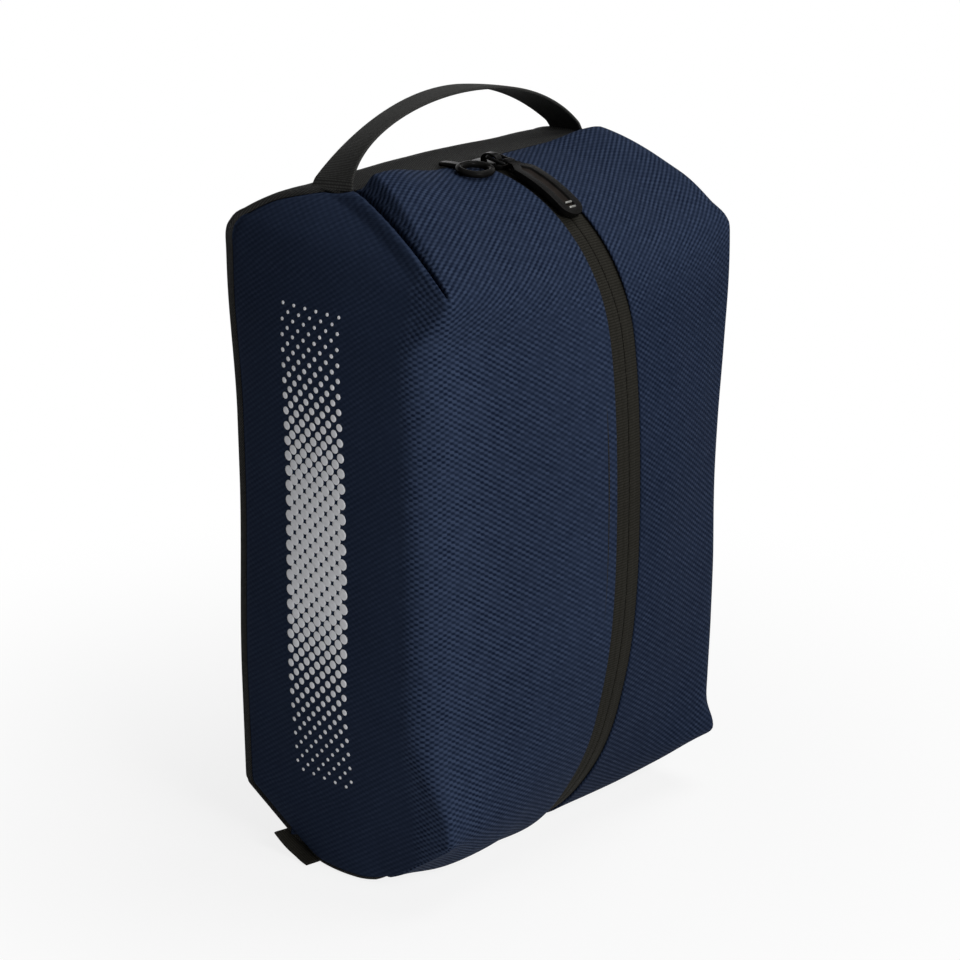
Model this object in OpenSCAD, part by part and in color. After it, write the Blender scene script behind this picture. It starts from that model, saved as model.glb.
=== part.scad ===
/* [Bag body] */
// Width of the front, fold to fold
bag_w = 210; // [195:1:225]
// Depth of the sides, front fold to back seam
bag_d = 142; // [130:1:156]
// Height of the ridge seam above the ground
ridge_h = 342.5; // [335:0.5:360]
// Length of the ridge seam between the handle ends
ridge_w = 168; // [155:1:182]
// Ridge seam behind the middle of the depth
ridge_back = 8; // [2:1:14]
// Fall of the front corners below the ridge seam, at the ends of the upper darts
front_drop = 35.5; // [31.5:0.5:46.5]
// Height of the front corners, at the ends of the lower darts
front_low_h = 35; // [32:1:42]
// Fall of the upper back corners below the ridge seam
back_drop = 19; // [12.5:0.5:22.5]
// Height of the lower back corners
back_low_h = 30; // [26:0.5:31]
// Width of the back at its upper corners
back_w = 209; // [195:1:220]
// Width of the base
base_w = 202; // [190:1:214]
// Flat of the base in front of the middle of the depth
base_front = 22; // [16:1:28]
// Flat of the base behind the middle of the depth
base_back = 30; // [22:1:38]
// Thickness of the fabric with its lining
wall = 1.5; // [1:0.1:2]

/* [Swell of the panels] */
// Outward swell of each side panel
side_swell = 4; // [0:0.5:8]
// Outward swell of the back panel
back_swell = 3; // [0:0.5:6]
// Upward swell of the top yoke
yoke_swell = 2; // [0:0.5:6]
// Upward bow of the upper darts
dart_bow = 4; // [0:0.5:7]
// Upward bow of the yoke's side seams
seam_bow = 2; // [0:0.5:4]
// Length of fabric that rounds each front fold at its softest
fold_cut = 16; // [8:1:22]
// Length of fabric that rounds a dart
dart_cut = 3; // [2:0.5:4]
// Length of seam that rounds each upper back corner
back_cut = 10; // [6:0.5:12]
// Length of seam that rounds each lower back corner
base_cut = 3; // [1:0.5:4]

/* [Line of the zip] */
// Radius of the zip line over the shoulder
shoulder_r = 88; // [82:0.5:94]
// Middle of the shoulder arc in front of the middle of the depth
shoulder_front = 1; // [0:0.5:4]
// Radius of the zip line down the front
front_r = 426; // [380:1:500]
// Radius of the zip line at the toe of the bag
toe_r = 138; // [130:1:146]
// Middle of the toe arc behind the middle of the depth
toe_back = 52.4; // [48:0.2:57]
// Depth by which the toe arc would reach below the ground
toe_sink = 28; // [24:0.5:32]

/* [Zip] */
// Width of zip that shows between the fabric edges
zip_w = 24; // [20:1:28]
// Width of each tape that is sewn under the fabric
tape_under = 3; // [2:0.5:5]
// Gap between the two tapes
tape_gap = 1.2; // [1:0.1:1.6]
// Thickness of the tapes
tape_t = 0.8; // [0.6:0.1:1]
// Depth of the tape below the lining
tape_seat = 0.5; // [0.4:0.1:0.8]
// Clearance between a tape and its coil
coil_seat = 0.15; // [0.1:0.05:0.3]
// Width of each coil
coil_w = 2.8; // [2.4:0.1:3.4]
// Height of each coil
coil_t = 2; // [1.6:0.1:2.4]
// Length of each stop
stop_l = 1.8; // [1.4:0.1:2.2]

/* [Slider] */
// Length of the slider
slider_l = 19; // [16:0.5:20]
// Width of the slider
slider_w = 12; // [10:0.5:13]
// Thickness of the slider's plates
plate_t = 2; // [1.4:0.1:2.4]
// Thickness of the web between the two plates
web_t = 0.6; // [0.4:0.1:0.7]
// Running clearance of the slider and the puller
run_gap = 0.35; // [0.3:0.05:0.5]
// Turn of the slider's middle from the top of the shoulder arc, in degrees
slider_turn = 1.8; // [1.6:0.1:3]
// Width of the bridge
bridge_w = 4.4; // [3.6:0.2:5]
// Length of the bridge
bridge_l = 11; // [9:0.5:13]
// Height of the bridge above its plate
bridge_h = 4.9; // [4.6:0.1:5.4]

/* [Puller] */
// Radius of the bail's wire
wire_r = 0.9; // [0.7:0.05:1]
// Length of the bail between its two bars
bail_l = 11; // [9.5:0.5:12]
// Length of the puller
pull_l = 49; // [42:1:50]
// Width of the puller
pull_w = 14; // [10:0.5:15]
// Width of the puller's neck
neck_w = 6; // [5:0.2:6.4]
// Thickness of the puller
pull_t = 2.8; // [2.6:0.1:3.2]
// Depth of the panel sunk into the puller
panel_dip = 0.6; // [0.3:0.1:0.9]
// Height of the grip ribs at the puller's tip
rib_h = 0.5; // [0.3:0.1:0.8]

/* [Handle] */
// Width of the webbing
web_w = 24; // [20:1:26]
// Thickness of the webbing
strap_t = 1.6; // [1.2:0.1:2]
// Rise of the handle above the ridge seam
handle_rise = 31; // [29:0.5:36]
// Squareness of the handle's arch
arch_power = 2.6; // [2.2:0.1:3]
// Height at which the handle flops, above the ridge seam
flop_h = 16.4; // [15:0.2:18]
// Gap between the webbing and the seam it rises from
foot_gap = 0.3; // [0.2:0.05:0.4]

/* [Finger loop] */
// Length of the loop, across the bag
loop_l = 20; // [19:0.5:24]
// Breadth of the loop
loop_w = 18; // [15:0.5:19]
// Radius of the loop's moulded rod
loop_rod_r = 1.75; // [1.4:0.05:2]
// Middle of the loop, left of the zip line
loop_left = 22; // [21:0.5:30]
// Turn of the loop's middle from the top of the shoulder arc, in degrees
loop_turn = 7.5; // [6:0.5:9]
// Width of the loop's tail
tail_w = 6; // [5:0.5:8]

/* [Label and seams] */
// Length of the side label along its seam
label_l = 20; // [18:1:25]
// Reach of the side label out of its seam
label_out = 8; // [6:0.5:9]
// Start of the side label up its seam from the base
label_start = 2; // [2:0.5:6]
// Droop of the side label, in degrees
label_droop = 4; // [0:1:5]
// Thickness of the folded label
label_t = 1; // [0.8:0.1:1.4]
// Reach of the bound seam allowance into the bag
binding_w = 7; // [5:0.5:9]
// Thickness of the bound seam allowance
binding_t = 1.4; // [1:0.1:2]

/* [Hidden] */
$fn = 64;

// Colours
navy = [0.09, 0.14, 0.30];
deep_navy = [0.07, 0.10, 0.22];
black_cloth = [0.06, 0.06, 0.07];
tape_black = [0.04, 0.04, 0.05];
moulded_black = [0.02, 0.02, 0.02];

// Rows of the panel grid, from the ridge down to the base
top_rows = 10;
shoulder_rows = 5;
flap_rows = 10;
toe_rows = 3;
under_rows = 7;
// Rows of the back edge that run straight before its rounded corner
straight_rows = top_rows - 3;
corner_rows = 3;
flap_row = top_rows + shoulder_rows;
flap_end_row = flap_row + flap_rows;
under_row = flap_end_row + toe_rows;
last_row = under_row + under_rows;
// Columns of the panel grid, from the back seam to the zip
side_cols = 8;
round_cols = 4;
front_cols = 8;
fold_col = side_cols + round_cols / 2;
zip_col = side_cols + round_cols + front_cols;

// Gap between a front flap and the panels round it
flap_gap = 0.5;
// Heights over which a front fold softens below the upper dart and above the lower one
fold_start = 40;
fold_run = 90;
fold_low_run = 22;
// Margin between the front arc's ends and the flap
flap_margin = 4.5;
// Flare of the ridge seam along the handle's foot, and its fall
foot_flare = 4;
foot_fall = 1.5;
// Inner box that the thickness of every panel points at
core_margin_x = 45;
core_margin_y = 41;
core_low = 60;

// Heights of the front and back corners at the top
front_top_h = ridge_h - front_drop;
back_top_h = ridge_h - back_drop;

// Arcs of the zip line, in depth and height
shoulder_c = [-shoulder_front, ridge_h - sqrt(shoulder_r ^ 2 - (ridge_back + shoulder_front) ^ 2)];
toe_c = [toe_back, toe_r - toe_sink];
shoulder_inner = front_r - shoulder_r;
toe_inner = front_r - toe_r;
arc_span = norm(toe_c - shoulder_c);
arc_line = (toe_c - shoulder_c) / arc_span;
arc_along = (shoulder_inner ^ 2 - toe_inner ^ 2 + arc_span ^ 2) / (2 * arc_span);
arc_across = sqrt(shoulder_inner ^ 2 - arc_along ^ 2);
// The front arc touches the shoulder arc and the toe arc from outside
front_c = shoulder_c + arc_along * arc_line + arc_across * [-arc_line[1], arc_line[0]];
shoulder_end_h = front_c[1] + (shoulder_c[1] - front_c[1]) * front_r / shoulder_inner;
toe_start_h = front_c[1] + (toe_c[1] - front_c[1]) * front_r / toe_inner;
flap_hi = shoulder_end_h - flap_margin;
flap_lo = toe_start_h + flap_margin;
shoulder_end_turn = acos((shoulder_end_h - shoulder_c[1]) / shoulder_r);
ridge_turn = -asin((ridge_back + shoulder_front) / shoulder_r);
corner_turn = acos((front_top_h - shoulder_c[1]) / shoulder_r);
toe_turn = asin((toe_c[1] - front_low_h) / toe_r);

// Corners of the left half
ridge_end = [-ridge_w / 2, ridge_back, ridge_h];
foot_end = ridge_end + [-foot_flare, web_w, -foot_fall];
back_top = [-back_w / 2, bag_d / 2, back_top_h];
back_low = [-base_w / 2, bag_d / 2, back_low_h];
front_top = [-bag_w / 2, -bag_d / 2, front_top_h];
front_low = [-bag_w / 2, -bag_d / 2, front_low_h];
base_rear = [-base_w / 2, base_back, 0];
base_fore = [-base_w / 2, -base_front, 0];
back_top_in = back_top + back_cut * unit(foot_end - back_top);
back_top_out = back_top - [0, 0, back_cut];
back_low_in = back_low + [0, 0, base_cut];
back_low_out = back_low + base_cut * unit(base_rear - back_low);
toe_point = [0, zip_y(front_low_h), front_low_h];
toe_aim = toe_point + [0, front_low_h * tan(toe_turn), -front_low_h];
toe_end = [0, -base_front, 0];

// Radii of what runs along the shoulder arc
tape_top_r = shoulder_r - wall - tape_seat;
tape_low_r = tape_top_r - tape_t;
coil_top_r = tape_low_r - coil_seat;
coil_low_r = coil_top_r - coil_t;
plate_low_r = tape_top_r + run_gap;
plate_top_r = plate_low_r + plate_t;
inner_plate_r = coil_low_r - run_gap;
slider_half_turn = slider_l / 2 / shoulder_r * 180 / PI;
pin_h = 2.6;
pin_r = plate_top_r + pin_h;
pull_low_r = plate_top_r + run_gap;
pull_top_r = pull_low_r + pull_t;
eye_r = (pull_low_r + pull_top_r) / 2;
eye_turn = bail_l / eye_r * 180 / PI;
// Puller behind its eye
eye_back = 2.2;
pull_start_turn = eye_turn - eye_back / eye_r * 180 / PI;
pull_end_turn = pull_start_turn + pull_l / eye_r * 180 / PI;

// Small helpers
function unit(v) = v / norm(v);
function lerp(a, b, t) = a + (b - a) * t;
function clamp01(t) = max(0, min(1, t));
function smooth(t) = clamp01(t) ^ 2 * (3 - 2 * clamp01(t));
function bezier(a, b, c, t) = (1 - t) ^ 2 * a + 2 * t * (1 - t) * b + t ^ 2 * c;
function mirrored(p) = [-p[0], p[1], p[2]];
function reversed(v) = [for (k = [len(v) - 1:-1:0]) v[k]];
function stepped(p, q, d) = p + d * unit(q - p);

// Depth of the zip line at a height, on the front of the bag
function arc_y(c, r, z) = c[0] - sqrt(r ^ 2 - (z - c[1]) ^ 2);
function zip_y(z) =
    z > shoulder_end_h ? arc_y(shoulder_c, shoulder_r, z)
    : z > toe_start_h ? arc_y(front_c, front_r, z)
    : arc_y(toe_c, toe_r, z);

// Height of a grid row between the upper and the lower dart
function row_h(i) =
    i <= flap_row ? lerp(front_top_h, flap_hi, (i - top_rows) / shoulder_rows)
    : i <= flap_end_row ? lerp(flap_hi, flap_lo, (i - flap_row) / flap_rows)
    : lerp(flap_lo, front_low_h, (i - flap_end_row) / toe_rows);
function back_half_w(z) = lerp(base_w, back_w, (z - back_low_h) / (back_top_h - back_low_h)) / 2;

// Back edge of the left half at a row
function back_top_edge(i) =
    i <= straight_rows ? lerp(foot_end, back_top_in, i / straight_rows) + bowed(i / straight_rows, seam_bow)
    : i < top_rows ? bezier(back_top_in, back_top, back_top_out, (i - straight_rows) / (corner_rows - 1))
    : back_mid_edge(i);
function back_mid_edge(i) = [-back_half_w(row_h(i)), bag_d / 2, row_h(i)];
function back_low_edge(k) =
    k <= corner_rows ? bezier(back_low_in, back_low, back_low_out, (k - 1) / (corner_rows - 1))
    : lerp(back_low_out, base_rear, (k - corner_rows) / (under_rows - corner_rows));
function back_edge(i) =
    i < top_rows ? back_top_edge(i)
    : i <= under_row ? back_mid_edge(i)
    : back_low_edge(i - under_row);
function bowed(s, bow) = [0, 0, bow * 4 * s * (1 - s)];

// Front fold of the left half at a row, with its darts above and below
function fold_edge(i) =
    i < top_rows ? lerp(ridge_end, front_top, i / top_rows) + bowed(i / top_rows, dart_bow)
    : i <= under_row ? [-bag_w / 2, -bag_d / 2, row_h(i)]
    : lerp(front_low, base_fore, (i - under_row) / under_rows);

// Zip line at a row
function shoulder_point(turn, r) =
    [0, shoulder_c[0] - r * sin(turn), shoulder_c[1] + r * cos(turn)];
function zip_point(i) =
    i <= top_rows ? shoulder_point(lerp(ridge_turn, corner_turn, i / top_rows), shoulder_r)
    : i <= under_row ? [0, zip_y(row_h(i)), row_h(i)]
    : bezier(toe_point, toe_aim, toe_end, (i - under_row) / under_rows);

// Length of fabric that rounds the fold at a row
function softness(z) =
    min(smooth((front_top_h - z - fold_start) / fold_run), smooth((z - front_low_h) / fold_low_run));
function rounding(i) =
    i < top_rows || i > under_row ? dart_cut : lerp(dart_cut, fold_cut, softness(row_h(i)));
function swell_share(i) = i < top_rows ? sin(90 * i / top_rows) : 1;

// Points of the left half: u runs along the side, t from the zip to the fold
function side_point(i, u) =
    lerp(back_edge(i), fold_edge(i), u) - [side_swell * swell_share(i) * sin(180 * u), 0, 0];
function front_point(i, t) =
    let (f = fold_edge(i), c = zip_point(i))
    [f[0] * t, lerp(c[1], f[1], t ^ 2), lerp(c[2], f[2], t ^ 2)];
function panel_row(i) =
    let (
        f = fold_edge(i),
        cut = rounding(i),
        side_end = 1 - cut / norm(f - back_edge(i)),
        front_start = 1 + cut / f[0],
        a = side_point(i, side_end),
        b = front_point(i, front_start)
    )
    concat(
        [for (j = [0:side_cols]) side_point(i, side_end * j / side_cols)],
        [for (j = [1:round_cols - 1]) bezier(a, f, b, j / round_cols)],
        [for (j = [0:front_cols]) front_point(i, lerp(front_start, -zip_w / 2 / f[0], j / front_cols))]
    );
panel_grid = [for (i = [0:last_row]) panel_row(i)];

// Part of the panel grid between two rows and two columns
function block(i0, i1, j0, j1) = [for (i = [i0:i1]) [for (j = [j0:j1]) panel_grid[i][j]]];

// A flap's grid, drawn back from its neighbours at the top, at the bottom and at the fold
function drawn_row(row) = [for (j = [0:len(row) - 1]) j == 0 ? stepped(row[0], row[1], flap_gap) : row[j]];
function drawn_back(grid) =
    let (n = len(grid) - 1, m = len(grid[0]) - 1)
    [
        drawn_row([for (j = [0:m]) stepped(grid[0][j], grid[1][j], flap_gap)]),
        for (i = [1:n - 1]) drawn_row(grid[i]),
        drawn_row([for (j = [0:m]) stepped(grid[n][j], grid[n - 1][j], flap_gap)]),
    ];

// A point moved into the bag by a depth
function core_of(p) = [
    max(-bag_w / 2 + core_margin_x, min(bag_w / 2 - core_margin_x, p[0])),
    max(-bag_d / 2 + core_margin_y, min(bag_d / 2 - core_margin_y, p[1])),
    max(core_low, min(shoulder_end_h, p[2])),
];
function inward(p) = unit(core_of(p) - p);
function sunk(p, depth) = p + depth * inward(p);

// Closed sheet between two depths under a grid of points
module sheet(grid, outer = 0, inner = wall) {
    rows = len(grid);
    cols = len(grid[0]);
    total = rows * cols;
    function at(i, j) = i * cols + j;
    function quad(a, b, c, d) = [[a, b, c], [a, c, d]];
    cells = [
        for (i = [0:rows - 2], j = [0:cols - 2])
            each concat(
                quad(at(i, j), at(i, j + 1), at(i + 1, j + 1), at(i + 1, j)),
                quad(total + at(i, j), total + at(i + 1, j), total + at(i + 1, j + 1), total + at(i, j + 1))
            )
    ];
    ends = [
        for (j = [0:cols - 2])
            each concat(
                quad(at(0, j + 1), at(0, j), total + at(0, j), total + at(0, j + 1)),
                quad(at(rows - 1, j), at(rows - 1, j + 1), total + at(rows - 1, j + 1), total + at(rows - 1, j))
            )
    ];
    sides = [
        for (i = [0:rows - 2])
            each concat(
                quad(at(i, 0), at(i + 1, 0), total + at(i + 1, 0), total + at(i, 0)),
                quad(at(i + 1, cols - 1), at(i, cols - 1), total + at(i, cols - 1), total + at(i + 1, cols - 1))
            )
    ];
    points = [for (depth = [outer, inner], row = grid, p = row) sunk(p, depth)];
    polyhedron(points, concat(cells, ends, sides), convexity = 8);
}

module both_sides(right) {
    mirror([right ? 1 : 0, 0, 0]) children();
}

// Navy halves
module side_panel(right) {
    color(deep_navy) both_sides(right) sheet(block(0, last_row, 0, fold_col));
}
module top_panel(right) {
    color(navy) both_sides(right) sheet(block(0, flap_row, fold_col, zip_col));
}
module front_flap(right) {
    color(navy) both_sides(right) sheet(drawn_back(block(flap_row, flap_end_row, fold_col, zip_col)));
}
module lower_panel(right) {
    color(navy) both_sides(right) sheet(block(flap_end_row, last_row, fold_col, zip_col));
}

// Black panel behind the ridge, down the back and under the base: it spans the two side seams
yoke_end_row = straight_rows + 1;
base_start_row = under_row + 2;
ridge_line = [for (j = [fold_col:zip_col]) panel_grid[0][j]];
toe_line = [for (j = [fold_col:zip_col]) panel_grid[last_row][j]];
yoke_seam = concat(
    reversed([for (j = [0:fold_col]) panel_grid[0][j]]),
    [for (i = [1:yoke_end_row]) panel_grid[i][0]]
);
back_seam = [for (i = [yoke_end_row:base_start_row]) panel_grid[i][0]];
base_seam = concat(
    [for (i = [base_start_row:last_row]) panel_grid[i][0]],
    [for (j = [1:fold_col]) panel_grid[last_row][j]]
);
function whole_line(half) = concat([for (p = half) mirrored(p)], reversed(half));
function shares(line) = [for (p = whole_line(line)) p[0] / -line[0][0]];
ridge_shares = shares(ridge_line);
toe_shares = shares(toe_line);
function span_row(p, across, lift) = [
    for (s = across) [-p[0] * s, p[1] + lift[1] * (1 - s ^ 2), p[2] + lift[2] * (1 - s ^ 2)]
];
function blended(s) = [for (k = [0:len(ridge_shares) - 1]) lerp(ridge_shares[k], toe_shares[k], s)];

module top_yoke() {
    n = len(yoke_seam) - 1;
    color(black_cloth) sheet([
        whole_line(ridge_line),
        for (k = [1:n]) span_row(yoke_seam[k], ridge_shares, [0, 0, yoke_swell * sin(180 * k / n)]),
    ]);
}
module back_panel() {
    n = len(back_seam) - 1;
    color(black_cloth) sheet([
        for (k = [0:n]) span_row(back_seam[k], blended(k / n), [0, back_swell * sin(180 * k / n), 0])
    ]);
}
module base_panel() {
    n = len(base_seam) - 1;
    color(black_cloth) sheet([
        for (k = [0:n - 1]) span_row(base_seam[k], toe_shares, [0, 0, 0]),
        whole_line(toe_line),
    ]);
}

// Bound seam allowance that stands into the bag along a side seam
binding_line = concat(yoke_seam, [for (i = [yoke_end_row + 1:last_row]) panel_grid[i][0]],
    [for (j = [1:fold_col]) panel_grid[last_row][j]]);
// Clearance between the binding and the lining
binding_gap = 0.4;
module seam_binding(right) {
    n = len(binding_line);
    function along(k) = unit(binding_line[min(k + 1, n - 1)] - binding_line[max(k - 1, 0)]);
    function across(k) = unit(cross(along(k), inward(binding_line[k]))) * binding_t / 2;
    near = wall * sqrt(2) + binding_gap;
    points = [
        for (k = [0:n - 1], depth = [near, near + binding_w], sign = [-1, 1])
            sunk(binding_line[k], depth) + sign * across(k)
    ];
    ring = [0, 1, 3, 2];
    walls = [
        for (k = [0:n - 2], e = [0:3])
            let (a = ring[e], b = ring[(e + 1) % 4])
            each [[4 * k + a, 4 * k + b, 4 * k + 4 + b], [4 * k + a, 4 * k + 4 + b, 4 * k + 4 + a]]
    ];
    caps = [[0, 3, 1], [0, 2, 3], [4 * n - 4, 4 * n - 3, 4 * n - 1], [4 * n - 4, 4 * n - 1, 4 * n - 2]];
    color(tape_black) both_sides(right) polyhedron(points, concat(walls, caps), convexity = 8);
}

// Strip that follows the shoulder arc between two radii, from x0 to x1 and from turn a0 to a1
module arc_strip(r0, r1, x0, x1, a0, a1) {
    rotate([0, -90, 0])
        rotate([0, 0, -a1])
            rotate_extrude(angle = a1 - a0, $fn = 180)
                translate([r0, -x1])
                    square([r1 - r0, x1 - x0]);
}
// Frame whose origin is the middle of the shoulder arc, turned forward with the zip
module on_shoulder(turn) {
    translate([0, shoulder_c[0], shoulder_c[1]]) rotate([turn, 0, 0]) children();
}

// Zip tapes and coils: over the shoulder, on the flaps and at the toe
tape_in = tape_gap / 2;
tape_out = zip_w / 2 + tape_under;
coil_out = tape_in + coil_w;
tape_depth = wall + tape_seat;
lining_depth = tape_depth + tape_t;
coil_depth = lining_depth + coil_seat;
upper_end_turn = acos((flap_hi + flap_gap - shoulder_c[1]) / (shoulder_r - coil_depth - coil_t));
coil_start_turn = slider_turn - slider_half_turn;
function zip_grid(i0, i1, xs) = [for (i = [i0:i1]) [for (x = xs) front_point(i, x / fold_edge(i)[0])]];
tape_xs = [-tape_out, -zip_w / 2, -tape_in];
coil_xs = [-coil_out, -tape_in];
module upper_tape(right) {
    color(tape_black) both_sides(right) on_shoulder(0)
        arc_strip(tape_low_r, tape_top_r, -tape_out, -tape_in, ridge_turn + flap_gap, upper_end_turn);
}
module upper_coil(right) {
    color(moulded_black) both_sides(right) on_shoulder(0)
        arc_strip(coil_low_r, coil_top_r, -coil_out, -tape_in, coil_start_turn, upper_end_turn);
}
module flap_tape(right) {
    color(tape_black) both_sides(right)
        sheet(drawn_ends(zip_grid(flap_row, flap_end_row, tape_xs)), tape_depth, lining_depth);
}
module flap_coil(right) {
    color(moulded_black) both_sides(right)
        sheet(drawn_ends(zip_grid(flap_row, flap_end_row, coil_xs)), coil_depth, coil_depth + coil_t);
}
module lower_tape(right) {
    color(tape_black) both_sides(right)
        sheet(zip_grid(flap_end_row, last_row, tape_xs), tape_depth, lining_depth);
}
module lower_coil(right) {
    color(moulded_black) both_sides(right)
        sheet(zip_grid(flap_end_row, last_row - 1, coil_xs), coil_depth, coil_depth + coil_t);
}
function drawn_ends(grid) =
    let (n = len(grid) - 1, m = len(grid[0]) - 1)
    [
        [for (j = [0:m]) stepped(grid[0][j], grid[1][j], flap_gap)],
        for (i = [1:n - 1]) grid[i],
        [for (j = [0:m]) stepped(grid[n][j], grid[n - 1][j], flap_gap)],
    ];

// Stops that end the slider's run
module zip_top_stops() {
    start = coil_start_turn - run_gap - stop_l / coil_low_r * 180 / PI;
    color(moulded_black) for (right = [false, true])
        both_sides(right) on_shoulder(0)
            arc_strip(coil_low_r, coil_top_r, -coil_out, -tape_in, start, coil_start_turn - run_gap);
}
module zip_bottom_stop() {
    coil_end = zip_point(last_row - 1);
    color(moulded_black)
        translate([-coil_out, coil_end[1] + run_gap, coil_end[2] + coil_depth])
            cube([2 * coil_out, stop_l, coil_t]);
}

// Slider: upper plate, lower plate with its flanges, and the web that parts the coils
flange_t = 0.8;
nose_l = 5;
module slider_outline() {
    corner_r = norm([slider_w, slider_l]) / 2 - 1;
    intersection() {
        square([slider_w, slider_l], center = true);
        circle(r = corner_r);
    }
}
module slider_layer(r0, r1, x0, x1) {
    intersection() {
        arc_strip(r0, r1, x0, x1, -slider_half_turn, slider_half_turn);
        linear_extrude(2 * shoulder_r) slider_outline();
    }
}
module slider_body() {
    flange_x = coil_out + run_gap;
    color(moulded_black) on_shoulder(slider_turn) {
        slider_layer(plate_low_r, plate_top_r, -slider_w / 2, slider_w / 2);
        slider_layer(inner_plate_r - plate_t, inner_plate_r, -flange_x - flange_t, flange_x + flange_t);
        for (side = [-1, 1])
            translate([side * (flange_x + flange_t / 2), 0, 0])
                slider_layer(inner_plate_r, tape_low_r - run_gap, -flange_t / 2, flange_t / 2);
        translate([-web_t / 2, slider_l / 2 - nose_l - 1, inner_plate_r - plate_t / 2])
            cube([web_t, nose_l, plate_low_r - inner_plate_r + plate_t]);
    }
}
// Arch on the upper plate that holds the bail's pin
module slider_bridge() {
    sink = slider_l ^ 2 / shoulder_r / 32;
    shoulder = bridge_l / 2 - 1.5;
    color(moulded_black) on_shoulder(slider_turn)
        difference() {
            translate([-bridge_w / 2, 0, 0])
                rotate([90, 0, 90])
                    linear_extrude(bridge_w)
                        polygon([
                            [-bridge_l / 2, plate_top_r - sink], [bridge_l / 2, plate_top_r - sink],
                            [shoulder, plate_top_r + bridge_h], [-shoulder, plate_top_r + bridge_h],
                        ]);
            arc_strip(0, plate_top_r, -bridge_w, bridge_w, -slider_half_turn, slider_half_turn);
            translate([-bridge_w, 0, pin_r]) rotate([0, 90, 0]) cylinder(r = wire_r + run_gap, h = 2 * bridge_w);
        }
}

// Bail: two pressed arms with a pin through the bridge and a pin through the puller's eye
arm_t = 1.2;
arm_r = wire_r + 0.35;
module pull_bail() {
    eye = [-eye_r * sin(eye_turn), eye_r * cos(eye_turn)];
    lean = atan2(eye[1] - pin_r, eye[0]);
    reach = norm([eye[0], eye[1] - pin_r]);
    inner_x = neck_w / 2 + run_gap;
    color(moulded_black) on_shoulder(slider_turn)
        translate([0, 0, pin_r])
            rotate([lean, 0, 0]) {
                for (y = [0, reach])
                    translate([-inner_x - arm_t / 2, y, 0])
                        rotate([0, 90, 0]) cylinder(r = wire_r, h = 2 * inner_x + arm_t);
                for (side = [-1, 1])
                    translate([side * (inner_x + arm_t / 2), 0, 0])
                        rotate([90, 0, 90])
                            linear_extrude(arm_t, center = true) {
                                circle(r = arm_r);
                                translate([reach, 0]) circle(r = arm_r);
                                translate([0, -wire_r]) square([reach, 2 * wire_r]);
                            }
            }
}

// Long moulded puller that lies on the zip, with a sunk panel and two grip ribs
module puller_outline() {
    front = pull_l - eye_back;
    shoulder_y = eye_back + wire_r + 1;
    translate([-neck_w / 2, -shoulder_y - pull_w / 2]) square([neck_w, shoulder_y + pull_w / 2 + eye_back]);
    translate([0, -shoulder_y - pull_w / 2]) circle(d = pull_w);
    translate([-pull_w / 2, -front + pull_w / 2])
        square([pull_w, front - shoulder_y - pull_w]);
    translate([0, -front + pull_w / 2]) circle(d = pull_w);
}
module zip_puller() {
    mid_turn = (pull_start_turn + pull_end_turn) / 2;
    eye_y = eye_r * sin(mid_turn - eye_turn);
    panel_w = pull_w - 4;
    panel_start = mid_turn - 7;
    panel_end = pull_end_turn - 6.5;
    rib_turn = 0.8;
    rib_places = [pull_end_turn - 4.5, pull_end_turn - 2.5];
    color(moulded_black) on_shoulder(slider_turn)
        difference() {
            union() {
                rotate([mid_turn, 0, 0])
                    intersection() {
                        arc_strip(pull_low_r, pull_top_r, -pull_w / 2, pull_w / 2, -45, 45);
                        translate([0, eye_y, 0]) linear_extrude(2 * shoulder_r) puller_outline();
                    }
                for (a = rib_places)
                    arc_strip(eye_r, pull_top_r + rib_h, -pull_w / 4, pull_w / 4, a, a + rib_turn);
            }
            arc_strip(pull_top_r - panel_dip, shoulder_r + 2 * pull_t + plate_t,
                -panel_w / 2, panel_w / 2, panel_start, panel_end);
            rotate([eye_turn, 0, 0])
                translate([-neck_w, 0, eye_r])
                    rotate([0, 90, 0]) cylinder(r = wire_r + run_gap / 2, h = 2 * neck_w);
        }
}

// Carry handle: flat webbing that rises from the two side seams in one arch
arch_steps = 48;
arch_half = ridge_w / 2 + 1;
handle_y = ridge_back + web_w / 2;
knuckle_r = web_w / 2 + 0.01;
function arch_point(s, lift) =
    let (
        z = handle_rise * (1 - abs(s) ^ arch_power),
        slope = -handle_rise * arch_power * abs(s) ^ (arch_power - 1) * sign(s) / arch_half,
        across = unit([-slope, 1])
    )
    [arch_half * s, ridge_h + z] + lift * across;
module whole_arch() {
    steps = [for (k = [-arch_steps / 2:arch_steps / 2]) k / (arch_steps / 2)];
    translate([0, ridge_back + web_w, 0])
        rotate([90, 0, 0])
            linear_extrude(web_w)
                polygon(concat(
                    [for (s = steps) arch_point(s, strap_t)],
                    reversed([for (s = steps) arch_point(s, 0)])
                ));
}
// The part of the webbing that flops: above its hinge line, with a rounded end round it
module flop_zone(gap) {
    reach = arch_half + web_w;
    translate([-reach, handle_y, ridge_h + flop_h])
        rotate([0, 90, 0]) cylinder(r = knuckle_r + gap, h = 2 * reach);
    translate([-reach, handle_y - web_w, ridge_h + flop_h])
        cube([2 * reach, 2 * web_w, 2 * handle_rise]);
}
module handle_webbing() {
    color(black_cloth) intersection() {
        whole_arch();
        flop_zone(0);
    }
}
module handle_feet() {
    reach = arch_half + web_w;
    color(black_cloth) difference() {
        whole_arch();
        flop_zone(run_gap);
        translate([-reach, ridge_back - web_w, 0]) cube([2 * reach, 3 * web_w, ridge_h + foot_gap]);
    }
}

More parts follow.
